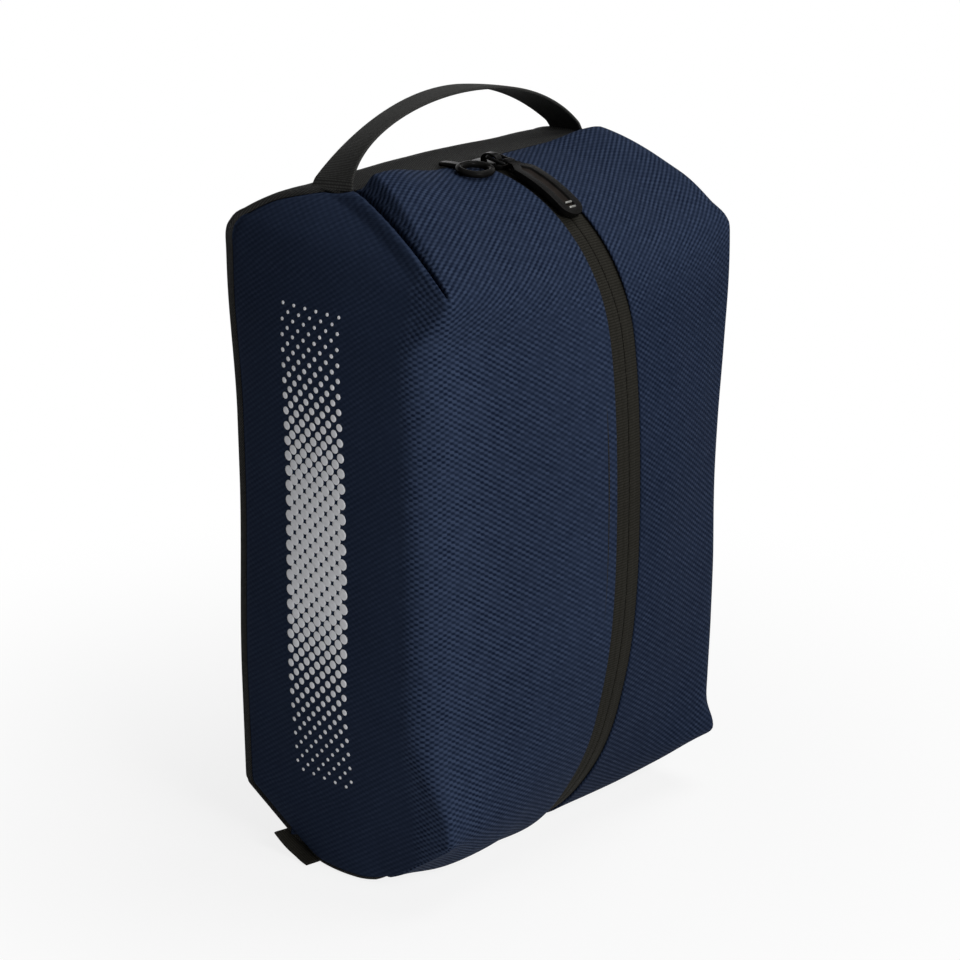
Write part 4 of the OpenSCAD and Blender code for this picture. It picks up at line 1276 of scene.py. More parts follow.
def settings():
    """The property groups of the scene, the form and the two fine grids, made once."""
    scene = bpy.context.scene
    if "form" not in SHOP:
        forms = {side: BagForm(scene.bag_sizes, scene.trim_sizes, fold) for side, fold in FOLDS.items()}
        SHOP["form"] = forms[LEFT]
        SHOP["halves"] = {side: HalfGrid(form, side) for side, form in forms.items()}
        make_materials(scene.bag_colours)
    return scene.bag_sizes, scene.trim_sizes, SHOP["form"], SHOP["halves"]


def on_height(z):
    """Point on the bag's middle line at a height."""
    return (0.0, 0.0, z)


# Middle of the floor, just under the base's lowest puff
FLOOR_PLACE = (0, 0, -0.0006)


class BAG_OT_stage(bpy.types.Operator):
    """Set the camera, the soft studio light, the pale floor and the white room"""

    bl_idname = "bag.stage"
    bl_label = "Stage"

    def execute(self, context):
        st = context.scene.stage_settings
        context.scene.view_settings.view_transform = "Standard"
        self.camera(context, st)
        self.lamps(st)
        self.room(context, st)
        self.floor()
        return {"FINISHED"}

    def camera(self, context, st):
        """Camera at the view of the reference."""
        data = bpy.data.cameras.new("Camera")
        camera = linked("Camera", data)
        turn, rise = st.view_turn, st.view_rise
        back = Vector((math.sin(turn) * math.cos(rise), -math.cos(turn) * math.cos(rise), math.sin(rise)))
        camera.location = Vector((0, 0, st.view_height)) + back * st.view_reach
        camera.rotation_euler = (-back).to_track_quat("-Z", "Y").to_euler()
        data.sensor_width = 36
        data.lens = st.lens
        data.shift_x, data.shift_y = st.shift_x, st.shift_y
        context.scene.camera = camera

    def lamps(self, st):
        """Soft lamps: key in front and to the left, one overhead, and a weak low fill at the left."""
        middle, foot = Vector((0, 0, 0.17)), Vector((0, 0, 0.03))
        lamps = (
            ("Key light", (-0.36, -2.04, 1.25), 1.2, st.key_power, middle),
            ("Top light", (0.6, -0.4, 1.8), 1.2, st.top_power, middle),
            ("Fill light", (-0.55, -0.4, 0.03), 0.4, st.fill_power, foot),
        )
        for name, place, size, power, aim in lamps:
            data = bpy.data.lights.new(name, "AREA")
            data.shape = "DISK"
            data.size = size
            data.energy = power
            lamp = linked(name, data)
            lamp.location = place
            lamp.visible_camera = False
            lamp.rotation_euler = (aim - Vector(place)).to_track_quat("-Z", "Y").to_euler()

    def seen(self, bench):
        """One where a ray comes straight from the camera or by a reflection."""
        path = bench.new("ShaderNodeLightPath")
        either = bench.math("MAXIMUM", path.outputs["Is Camera Ray"], path.outputs["Is Glossy Ray"])
        return bench.math("MAXIMUM", either, path.outputs["Is Transmission Ray"])

    def room(self, context, st):
        """White room to the eye, and a dim one to the cloth."""
        world = bpy.data.worlds.new("Room")
        context.scene.world = world
        world.use_nodes = True
        bench = NodeBench(world.node_tree)
        dim = world.node_tree.nodes["Background"]
        dim.inputs["Color"].default_value = WHITE
        dim.inputs["Strength"].default_value = st.ambient
        white = bench.plain("ShaderNodeBackground", WHITE)
        choice = bench.mix_shader(self.seen(bench), dim.outputs[0], white)
        bench.feed(world.node_tree.nodes["World Output"].inputs["Surface"], choice)

    def floor(self):
        """Pale floor that keeps the shadow and fades into the white room."""
        pick_nothing()
        bpy.ops.mesh.primitive_circle_add(vertices=96, radius=4.0, fill_type="NGON", location=FLOOR_PLACE)
        floor = bpy.context.object
        floor.name = floor.data.name = "Floor"
        floor.data.transform(floor.matrix_world)
        material, bench, shader = start_material("Floor paper")
        tree = material.node_tree
        tree.nodes.remove(shader)
        reach = bench.new("ShaderNodeVectorMath", operation="LENGTH")
        bench.feed(reach.inputs[0], object_vector(bench))
        paper = bench.plain("ShaderNodeBsdfDiffuse", (0.9, 0.9, 0.9, 1))
        dull = bench.plain("ShaderNodeBsdfDiffuse", (0.6, 0.6, 0.6, 1))
        glow = bench.plain("ShaderNodeEmission", WHITE)
        fade = bench.mix_shader(bench.ramp(reach.outputs["Value"], 0.1, 0.5, 0.84, 1.0), paper, glow)
        choice = bench.mix_shader(self.seen(bench), dull, fade)
        bench.feed(tree.nodes["Material Output"].inputs["Surface"], choice)
        floor.data.materials.append(material)


class BAG_OT_halves(bpy.types.Operator):
    """Sew the navy halves: side panels on the bag, and front halves cut into an upper and a lower piece"""

    bl_idname = "bag.halves"
    bl_label = "Navy halves"

    def execute(self, context):
        sizes, _, _, halves = settings()
        for side, word in SIDES:
            half = halves[side]
            cloths = [MATERIALS["navy", side], MATERIALS["lining"]]
            side_cloths = [MATERIALS["navy_side", side], MATERIALS["lining"]]
            back, front = slice(0, SPLIT_COL[side] + 1), slice(SPLIT_COL[side], None)
            piece = self.cut(f"{word}_side", half, slice(None), back, side, sizes.wall, side_cloths)
            dress(piece, "bag", [f"{word}_side_panel"])
            cuts = (
                ("upper", slice(0, half.split + 1), UPPER_TURN, ("top_panel", "front_flap")),
                ("lower", slice(half.split, None), LOWER_TURN, ("lower_panel", "front_flap")),
            )
            for part, rows, turn, nodes in cuts:
                name = f"{word}_front_{part}"
                piece = self.cut(name, half, rows, front, side, sizes.wall, cloths, hem=True)
                on_height(turn[0])
                on_height(turn[1])
                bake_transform(piece)
                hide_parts(*[f"{word}_{node}" for node in nodes])
        return {"FINISHED"}

    def cut(self, name, half, rows, cols, side, wall, cloths, hem=False):
        """One panel cut from the fine grid."""
        grids = (grid[rows, cols] for grid in (half.points, half.normals, half.cloth))
        return sheet_piece(name, *grids, wall, side, cloths, hem)


class BAG_OT_black_panels(bpy.types.Operator):
    """Sew the black yoke, back and base, whose edge wraps round onto the sides"""

    bl_idname = "bag.black_panels"
    bl_label = "Black panels"

    def execute(self, context):
        sizes, _, form, _ = settings()
        yoke = [(0, 1 - k / 14) for k in range(14)] + [(YOKE_END_ROW * k / 30, 0) for k in range(31)]
        back = [(lerp(YOKE_END_ROW, BASE_START_ROW, k / 110), 0) for k in range(1, 111)]
        base = [(lerp(BASE_START_ROW, LAST_ROW, k / 20), 0) for k in range(1, 20)]
        base += [(LAST_ROW, k / 24) for k in range(25)]
        seam = yoke + back + base
        cuts = (0, len(yoke) - 1, len(yoke) + len(back) - 1, len(seam) - 1)
        line = np.array([form.side_point(i, u) for i, u in seam])
        run = run_along(line)
        panels = (
            ("black_yoke", (0, 0, sizes.yoke_swell), "top_yoke"),
            ("black_back", (0, sizes.back_swell, 0), "back_panel"),
            ("black_base", (0, 0, 0), "base_panel"),
        )
        rises = np.zeros((len(seam), 3))
        for (_, swell, _), start, end in zip(panels, cuts, cuts[1:]):
            places = (run[start : end + 1] - run[start]) / (run[end] - run[start])
            rises[start : end + 1] = np.sin(math.pi * places)[:, None] * np.array(swell)
        points, normals = self.surface(form, sizes, seam, line, rises, cuts)
        across = run_along(points)
        cloth = paired(across - across[:, -1:] / 2, run[:, None])
        cloths = [MATERIALS["black"], MATERIALS["lining"]]
        for (name, _, node), start, end in zip(panels, cuts, cuts[1:]):
            rows = slice(start, end + 1)
            piece = sheet_piece(name, points[rows], normals[rows], cloth[rows], sizes.wall, LEFT, cloths)
            dress(piece, "bag", [node])
        return {"FINISHED"}

    def surface(self, form, sizes, seam, line, rises, cuts):
        """Points and normals between the two side seams, which are given as rows and shares of the side."""
        along = unit(np.gradient(line, axis=0) * np.array([0, 1, 1]))
        outs = np.stack([np.full(len(line), -1.0), -along[:, 2], along[:, 1]], axis=1) / math.sqrt(2)
        grid = np.array([self.row(form, i, u, *more) for (i, u), *more in zip(seam, rises, outs)])
        grid = rounded_base(form, grid)
        normals = grid_normals(grid)
        cols = grid.shape[1]
        edge = np.minimum(np.arange(cols), np.arange(cols)[::-1])
        dip = (1 - smooth(edge / 2.5)) * sizes.seam_dip
        lifts = np.array([[ripple_at(q) for q in row] for row in grid]) * sizes.ripple * 0.7
        free = smooth((edge - 8) / 10)
        away = np.array([[abs(k - cut) for cut in cuts] for k in range(len(grid))])
        hold = np.array([0.7, 0.25, 0.25, 0.7]) * sizes.seam_dip
        end_dip = np.max((1 - smooth(away / 2.0)) * hold, axis=1)
        fade = smooth(np.min(away, axis=1) / 6)
        lift = lifts * free * fade[:, None] - np.maximum(dip[None], end_dip[:, None])
        points = grid + normals * lift[..., None]
        return points, grid_normals(points)

    def row(self, form, i, u, swell, out):
        """Points from the right side's wrap over the panel to the left side's."""
        tip = form.side_point(i, u)
        seam = tip
        half = abs(seam[0])
        wall_u = lerp(form.wrap_share(i), 1.0, u) if i < LAST_ROW else u
        wall_end = form.side_point(form.lowered(i, wall_u), wall_u)
        wrap = np.linalg.norm(wall_end - tip)
        inner = half - wrap - 0.0006
        tip = tip + out * form.s.edge_roll * min(1.0, wrap / form.s.wrap)

        def spanned(x):
            return np.array([x, *seam[1:]]) + swell * (1 - (x / half) ** 2)

        bend = [bezier(wall_end, tip, spanned(-inner), k / 10) for k in range(10)]
        middle = [spanned(lerp(-inner, inner, k / 56)) for k in range(57)]
        right = [mirrored(q, RIGHT) for q in reversed(bend)]
        return (bend + middle + right)[::-1]


# Gap between a coil and the tape over it, and the row at which the tapes begin
COIL_SEAT = 0.00015
TAPE_ROW = 0.15


class BAG_OT_zip(bpy.types.Operator):
    """Weave the zip tapes and wind the coils on their inner face"""

    bl_idname = "bag.zip"
    bl_label = "Zip tapes and coils"

    def execute(self, context):
        sizes, trim, form, halves = settings()
        places = [i for i in halves[LEFT].rows if i >= TAPE_ROW]
        split = places.index(SPLIT_ROW)
        parts = (
            ("upper", places[: split + 1], UPPER_TURN, ("upper", "flap")),
            ("lower", places[split:], LOWER_TURN, ("lower", "flap")),
        )
        for side, word in SIDES:
            for part, rows, turn, nodes in parts:
                for kind, maker in (("tape", self.tape), ("coil", self.coil)):
                    piece = maker(f"{word}_{kind}_{part}", form, trim, sizes, rows, side)
                    on_height(turn[0])
                    on_height(turn[1])
                    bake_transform(piece)
                    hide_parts(*[f"{word}_{node}_{kind}" for node in nodes])
        for node in ("zip_top_stops", "zip_bottom_stop"):
            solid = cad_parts[node]
            solid.data.materials.clear()
            solid.data.materials.append(MATERIALS["metal"])
        return {"FINISHED"}

    def line(self, form, rows):
        """Zip line at each row, with the direction out of the bag."""
        path = np.array([form.zip_point(i) for i in rows])
        along = unit(np.gradient(path, axis=0))
        return path, unit(np.cross(along, ACROSS))

    def tape(self, name, form, trim, sizes, rows, side):
        """One tape, raised a little over its coil."""
        path, out = self.line(form, rows)
        far, near = trim.zip_w / 2 + trim.tape_under, 0.0002
        x = -lerp(far, near, np.arange(25) / 24)
        ridge, ridge_w, sag_w = 0.00028, 0.0046, 0.003
        rise = ridge * smooth((ridge_w + x) / 0.0012) * smooth((-x - near) / 0.0006)
        sag = 0.0004 * smooth((np.abs(x) - trim.zip_w / 2 + sag_w) / sag_w)
        sink = sizes.wall + trim.tape_seat
        depth = lerp(sink, sink * 0.55, smooth((np.array(rows) - 11) / 4))[:, None] + sag - rise
        grid = path[:, None] + ACROSS * x[:, None] - out[:, None] * depth[..., None]
        cloth = paired(x[None, :], -run_along(path)[:, None])
        return sheet_piece(name, grid, grid_normals(grid), cloth, trim.tape_t, side, [MATERIALS["tape"]] * 2)

    def coil(self, name, form, trim, sizes, rows, side):
        """One wound coil under its tape."""
        path, out = self.line(form, rows)
        run = run_along(path)
        wire = 0.00034
        wide, high = trim.coil_w / 2 - wire, trim.coil_t / 2 - wire
        depth = sizes.wall + trim.tape_seat + trim.tape_t + COIL_SEAT + trim.coil_t / 2
        middle = -(trim.tape_gap / 2 + trim.coil_w / 2)
        start, end = 0.009, run[-1] - 0.002
        turn_steps = 10
        steps = int((end - start) / trim.coil_pitch * turn_steps)
        centres = []
        for k in range(steps + 1):
            place = lerp(start, end, k / steps)
            a = 2 * math.pi * k / turn_steps
            p = np.array([np.interp(place, run, path[:, n]) for n in range(3)])
            o = unit(np.array([np.interp(place, run, out[:, n]) for n in range(3)]))
            x, sunk = middle + wide * math.cos(a), depth + high * math.sin(a)
            centres.append(p + ACROSS * x - o * sunk)
        leaning = (1, 0.3, 0.2)
        return sweep(name, mirrored(centres, side), circle_profile(wire, 5), leaning, [MATERIALS["coil"]])


# Strips of cloth behind a front fold: one share for each, outermost first, where a share of nought puts the
# strip on the bag, their thickness, the gap before the first of them and the step from one to the next
FAN_SHARES = (0.0, 0.3, 0.52, 1.0)
FAN_T, FAN_GAP, FAN_STEP = 0.0006, 0.0004, 0.001


class BAG_OT_bindings(bpy.types.Operator):
    """Bind the seam allowances inside the side seams and face the front folds"""

    bl_idname = "bag.bindings"
    bl_label = "Bindings and facings"

    def execute(self, context):
        sizes, trim, form, halves = settings()
        line = [form.side_point(0, 1 - k / 10) for k in range(10)]
        line += [form.back_edge(LAST_ROW * k / 140) for k in range(140)]
        line += [form.side_point(LAST_ROW, k / 12) for k in range(13)]
        line = rounded_base(form, np.array(line))
        inset_x, inset_y, core_low, clear = 0.045, 0.041, 0.060, 0.0006
        core = np.array([sizes.bag_w / 2 - inset_x, sizes.bag_d / 2 - inset_y, form.shoulder_end_h])
        inward = unit(np.clip(line, [-core[0], -core[1], core_low], core) - line)
        near = sizes.wall * math.sqrt(2) + clear
        path = line + inward * (near + trim.binding_w / 2)
        profile = [(v, u) for u, v in strip_profile(trim.binding_w, trim.binding_t, 4)]
        for side, word in SIDES:
            way, inner = mirrored(path, side), mirrored(inward, side)
            piece = sweep(f"{word}_binding", way, profile, inner, [MATERIALS["tape"]])
            dress(piece, "bag", [f"{word}_seam_binding"])
            self.facing(word, side, halves[side], sizes)
        return {"FINISHED"}

    def facing(self, word, side, half, sizes):
        """Strips of cloth behind a front fold, in layers of growing depth; the outermost rides on the bag."""
        rows = [k for k, i in enumerate(half.rows) if CORNER_ROW + 2 <= i <= UNDER_ROW - 1]
        cols = slice(SPLIT_COL[side] - 7, SPLIT_COL[side] + 11)
        parts = (
            ("upper", slice(rows[0], half.split + 1), UPPER_TURN),
            ("lower", slice(half.split, rows[-1] + 1), LOWER_TURN),
        )
        cloths = [MATERIALS["navy_side", side], MATERIALS["lining"]]
        for layer, part_turn in enumerate(FAN_SHARES):
            depth = sizes.wall + FAN_GAP + FAN_STEP * layer
            for part, strip, turn in parts:
                name = f"{word}_{part}_facing_{layer}"
                normals = half.normals[strip, cols]
                grid = half.points[strip, cols] - normals * depth
                piece = sheet_piece(name, grid, normals, half.cloth[strip, cols], FAN_T, side, cloths)
                if part_turn:
                    end = on_height(lerp(turn[0], turn[1], 1 / part_turn))
                    on_height(turn[0])
                    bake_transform(piece)
                else:
                    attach(piece, "bag")


# Pulls that shape the two edges of the handle: shares of its half length and of its rise
NEAR_EDGE = ((-0.97, 1.23), (0.48, 1.63))
FAR_EDGE = ((-0.50, 1.05), (0.25, 1.67))


class BAG_OT_handle(bpy.types.Operator):
    """Bend the handle's webbing in one arch between the side seams"""

    bl_idname = "bag.handle"
    bl_label = "Handle"

    def execute(self, context):
        sizes, trim, form, _ = settings()
        steps = 120
        profile = strip_profile(trim.web_w, trim.strap_t, 20, 5, 0.0004)
        places = np.array([self.spread(-1 + 2 * k / steps) for k in range(steps + 1)])
        near = self.edge(places, form.ridge_end, trim.handle_rise, NEAR_EDGE)
        far = self.edge(places, form.foot_end, trim.handle_rise, FAR_EDGE)
        middle = (near + far) / 2
        along = unit(np.gradient(middle, axis=0))
        face = unit(np.cross(along, far - near))
        a, b = np.array(profile).T
        shares, lifts = (a / trim.web_w + 0.5)[None, :, None], (b + trim.strap_t / 2)[None, :, None]
        rings = lerp(near[:, None], far[:, None], shares) + face[:, None] * lifts
        rings[..., 2] -= 0.0022 * smooth((np.abs(places) - 0.94) / 0.06)[:, None]
        uvs = paired(a[None, :], run_along(middle)[:, None])
        piece = swept_piece("handle", rings, uvs, [MATERIALS["webbing"]])
        low, high = sizes.ridge_h + 0.004, sizes.ridge_h + 0.022
        on_height(low)
        on_height(high)
        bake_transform(piece)
        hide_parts("handle_webbing", "handle_feet")
        return {"FINISHED"}

    def edge(self, places, end, rise, pulls):
        """One edge of the webbing: a curve from its left end to its right end, drawn up by two pulls."""
        t = (places[:, None] + 1) / 2
        aims = [np.array([-end[0] * x, end[1], end[2] + rise * z]) for x, z in pulls]
        return cubic(end, *aims, mirrored(end, RIGHT), t)

    def spread(self, t):
        """Stations along the arch, closer together at its ends."""
        return math.sin(t * math.pi / 2) * 0.55 + t * 0.45


class BAG_OT_slider(bpy.types.Operator):
    """Cast the slider: two plates, their flanges, the web between and the bridge"""

    bl_idname = "bag.slider"
    bl_label = "Slider"

    def execute(self, context):
        sizes, trim, form, _ = settings()
        tape_top = sizes.shoulder_r - sizes.wall - trim.tape_seat
        plate_low = tape_top + trim.run_gap
        coil_low = tape_top - trim.tape_t - COIL_SEAT - trim.coil_t
        inner_top = coil_low - trim.run_gap
        thick = trim.plate_t
        flange_t, flange_share, flange_sunk = 0.0008, 0.86, 0.0003
        web_t, web_l, web_back, web_sunk = 0.0006, 0.005, 0.0035, 0.0005
        lower_w = 2 * (trim.tape_gap / 2 + trim.coil_w + trim.run_gap + flange_t)
        upper_z, lower_z = plate_low + thick / 2 - tape_top, inner_top - thick / 2 - tape_top
        parts = [
            self.plate("upper_plate", trim.slider_w, trim.slider_l, thick, upper_z),
            self.plate("lower_plate", lower_w, trim.slider_l, thick, lower_z),
        ]
        flange_h = tape_top - trim.tape_t - trim.run_gap - inner_top
        flange_size = (flange_t, trim.slider_l * flange_share, flange_h + 2 * flange_sunk)
        for side in (LEFT, RIGHT):
            x, z = lower_w / 2 - flange_t / 2, inner_top + flange_h / 2 - flange_sunk - tape_top
            parts.append(block("flange", flange_size, (side * x, 0, z)))
            bevelled(parts[-1], 0.0002, 2)
        web_h = plate_low - inner_top + 2 * web_sunk
        place = (0, trim.slider_l / 2 - web_back, inner_top + web_h / 2 - web_sunk - tape_top)
        parts.append(block("web", (web_t, web_l, web_h), place))
        bevelled(parts[-1], 0.0001, 2)
        body = joined("slider", parts)
        onto_arc(body, form, trim.slider_turn, tape_top)
        body.data.materials.clear()
        body.data.materials.append(MATERIALS["metal"])
        soft_edges(body)
        dress(body, "zip_slider", ["slider_body"])
        self.bridge(trim, form, plate_low + thick)
        return {"FINISHED"}

    def plate(self, name, width, reach, thick, height):
        """Plate with round corners, a drawn-in tail and a domed face."""
        piece = block(name, (width, reach, thick), (0, 0, height))
        choose(piece, "EDGE", lambda e: abs(e.verts[0].co.z - e.verts[1].co.z) > thick / 2)
        bpy.ops.mesh.bevel(offset=width * 0.3, segments=6, affect="EDGES")
        choose(piece, "FACE", lambda f: f.normal.z > 0.9)
        bpy.ops.mesh.inset(thickness=width * 0.12, depth=thick * 0.12)
        bpy.ops.object.mode_set(mode="OBJECT")
        for v in piece.data.vertices:
            tail = smooth(-v.co.y / reach + 0.35)
            v.co.x *= lerp(1.0, 0.78, tail)
        bevelled(piece, 0.00035, 3)
        return piece

    def bridge(self, trim, form, top_r):
        """Arched strap on the upper plate that holds the bail's pin."""
        path = []
        steps = 28
        strap = 0.0011
        for k in range(steps + 1):
            a = math.pi * k / steps
            y = -math.cos(a)
            y = math.copysign(abs(y) ** 0.75, y) * (trim.bridge_l / 2 - strap / 2)
            z = math.sin(a) ** 0.7 * (trim.bridge_h - strap) - strap * 0.2
            p = form.on_shoulder(trim.slider_turn - y / top_r, top_r + z)
            path.append((0, p[1], p[2]))
        along = unit(np.gradient(np.array(path), axis=0))
        rising = np.cross(ACROSS, along)
        profile = strip_profile(trim.bridge_w, strap, 6, 4)
        piece = sweep("bridge_strap", path, profile, rising, [MATERIALS["metal"]])
        dress(piece, "zip_slider", ["slider_bridge"])


class BAG_OT_puller(bpy.types.Operator):
    """Bend the bail's wire and mould the long puller with its sunk panel and grip ribs"""

    bl_idname = "bag.puller"
    bl_label = "Bail and puller"

    def execute(self, context):
        sizes, trim, form, _ = settings()
        tape_top = sizes.shoulder_r - sizes.wall - trim.tape_seat
        plate_top = tape_top + trim.run_gap + trim.plate_t
        self.pull_low = plate_top + trim.run_gap
        self.eye_r = self.pull_low + trim.pull_t / 2
        self.eye_turn = trim.bail_l / self.eye_r
        pin_rise = 0.0026
        self.bail(trim, form, plate_top + pin_rise)
        self.puller(trim, form)
        return {"FINISHED"}

    def bail(self, trim, form, pin_r):
        """Wire loop through the bridge and the puller's eye."""
        turn = trim.slider_turn
        pin = form.on_shoulder(turn, pin_r)
        eye = form.on_shoulder(turn + self.eye_turn, self.eye_r)
        beside, corner = 0.00095, 0.0016
        half = trim.neck_w / 2 + beside
        run = np.linalg.norm(eye - pin)
        flat = []
        for cx, cy, start in ((half, run, 0), (-half, run, 1), (-half, 0, 2), (half, 0, 3)):
            sx, sy = math.copysign(1, cx), 1 if cy > 0 else -1
            for k in range(7):
                a = math.pi / 2 * (start + k / 6)
                x, y = cx - sx * corner + corner * math.cos(a), cy - sy * corner + corner * math.sin(a)
                flat.append((x, y))
        along = (eye - pin) / run
        path = [pin + ACROSS * x + along * y for x, y in flat]
        up = np.cross(ACROSS, along)
        profile = circle_profile(trim.wire_r, 12)
        piece = sweep("pull_bail_wire", path, profile, up, [MATERIALS["metal"]], closed=True)
        soft_edges(piece, 60)
        dress(piece, "zip_pull", ["pull_bail"])

    def outline(self, trim):
        """Half outline of the puller, from its eye to its tip: (reach, half width)."""
        behind, corner, neck_l, spread_l = 0.0022, 0.0014, 0.0035, 0.0105
        tip = trim.pull_l - behind
        neck, body = trim.neck_w / 2, trim.pull_w / 2
        points = []
        for a in np.linspace(0, math.pi / 2, 5):
            points.append((corner * (1 - math.cos(a)) - behind, neck - corner * (1 - math.sin(a))))
        points.append((neck_l, neck))
        for t in np.linspace(0.15, 1, 7):
            points.append((lerp(neck_l, spread_l, t), lerp(neck, body, smooth(t))))
        for t in np.linspace(0.12, 1, 8):
            points.append((lerp(spread_l, tip - body, t), body))
        for a in np.linspace(0.12, 1, 9) * math.pi / 2:
            points.append((tip - body + body * math.sin(a), body * math.cos(a)))
        return points

    def puller(self, trim, form):
        """Moulded puller, drawn flat and then laid along the shoulder arc."""
        half = self.outline(trim)
        ring = [(w, -r) for r, w in half] + [(-w, -r) for r, w in reversed(half[:-1])]
        work = bmesh.new()
        work.faces.new([work.verts.new((x, y, 0)) for x, y in ring])
        mesh = bpy.data.meshes.new("puller")
        work.to_mesh(mesh)
        work.free()
        piece = link_piece("puller", mesh, [MATERIALS["moulded"], MATERIALS["panel"]])
        pick(piece)
        choose(piece, "FACE", lambda f: True)
        bpy.ops.mesh.normals_make_consistent(inside=False)
        bpy.ops.mesh.extrude_region_move(TRANSFORM_OT_translate={"value": (0, 0, trim.pull_t)})
        bpy.ops.mesh.select_all(action="SELECT")
        bpy.ops.mesh.normals_make_consistent(inside=False)
        choose(piece, "FACE", lambda f: f.normal.z > 0.9)
        bpy.ops.mesh.inset(thickness=0.0040, depth=0)
        bpy.ops.mesh.inset(thickness=0.0006, depth=-0.0009)
        piece.active_material_index = 1
        bpy.ops.object.material_slot_assign()
        bevelled(piece, 0.00055, 4, 40)
        parts = [piece]
        rib_size, rib_sunk = (trim.pull_w * 0.34, 0.0013, 0.0016), 0.0004
        # The grip ribs take the bright metallic colour that paints the glints at the puller's tip
        for from_tip in (0.0098, 0.0068):
            glint_rib = block("grip_rib", rib_size, (0, from_tip - trim.pull_l, trim.pull_t - rib_sunk))
            glint_rib.data.materials.append(MATERIALS["glint_rib"])
            bevelled(glint_rib, 0.0006, 4)
            parts.append(glint_rib)
        boss_size, boss_rise = (trim.neck_w, 0.0042, trim.pull_t + 0.0008), 0.0002
        boss = block("eye_boss", boss_size, (0, 0, trim.pull_t / 2 + boss_rise))
        boss.data.materials.append(MATERIALS["moulded"])
        bevelled(boss, 0.0011, 4)
        parts.append(boss)
        piece = joined("puller", parts)
        self.cut_close(piece)
        turn = trim.slider_turn + self.eye_turn
        onto_arc(piece, form, turn, self.pull_low)
        soft_edges(piece)
        dress(piece, "zip_pull", ["zip_puller"])

    def cut_close(self, piece):
        """Extra cuts across the puller, so that it bends smoothly."""
        pick(piece)
        ys = [v.co.y for v in piece.data.vertices]
        spaces = 18
        bpy.ops.object.mode_set(mode="EDIT")
        for k in range(1, spaces):
            y = lerp(min(ys), max(ys), k / spaces)
            bpy.ops.mesh.select_all(action="SELECT")
            bpy.ops.mesh.bisect(plane_co=(0, y, 0), plane_no=(0, 1, 0))
        bpy.ops.object.mode_set(mode="OBJECT")


class BAG_OT_loop(bpy.types.Operator):
    """Mould the finger loop and its tail into the ridge seam"""

    bl_idname = "bag.finger_loop"
    bl_label = "Finger loop"

    def execute(self, context):
        sizes, trim, form, _ = settings()
        rest_r = sizes.shoulder_r + trim.run_gap + trim.loop_rod_r
        r = trim.loop_w / 2 - trim.loop_rod_r
        straight = (trim.loop_l - trim.loop_w) / 2
        centre = form.on_shoulder(trim.loop_turn, rest_r)
        forward = form.on_shoulder(trim.loop_turn + math.pi / 2, 1.0) - form.on_shoulder(0, 0)
        up = form.on_shoulder(trim.loop_turn, 1.0) - form.on_shoulder(0, 0)
        left = -trim.loop_left * ACROSS
        path = []
        for sign in (1, -1):
            for k in range(25):
                a = math.pi * (k / 24 - 0.5)
                x, y = sign * (straight + r * math.cos(a)), sign * r * math.sin(a)
                path.append(centre + left + ACROSS * x + forward * y)
        rubber = [MATERIALS["moulded"]]
        ring = sweep("loop_ring", path, circle_profile(trim.loop_rod_r, 16), up, rubber, closed=True)
        tail_w, tail_t, tail_lift = 0.006, 0.0022, 0.00115
        tail_r = sizes.shoulder_r + trim.run_gap + tail_lift
        tail_turns = np.linspace(form.ridge_turn, trim.loop_turn - r / rest_r, 10)
        tail_path = [form.on_shoulder(turn, tail_r) + left for turn in tail_turns]
        tail = sweep("loop_tail", tail_path, strip_profile(tail_w, tail_t, 6, 5), (0, 0, 1), rubber)
        piece = joined("loop", [ring, tail])
        soft_edges(piece, 50)
        dress(piece, "finger_loop", ["finger_loop"])
        return {"FINISHED"}


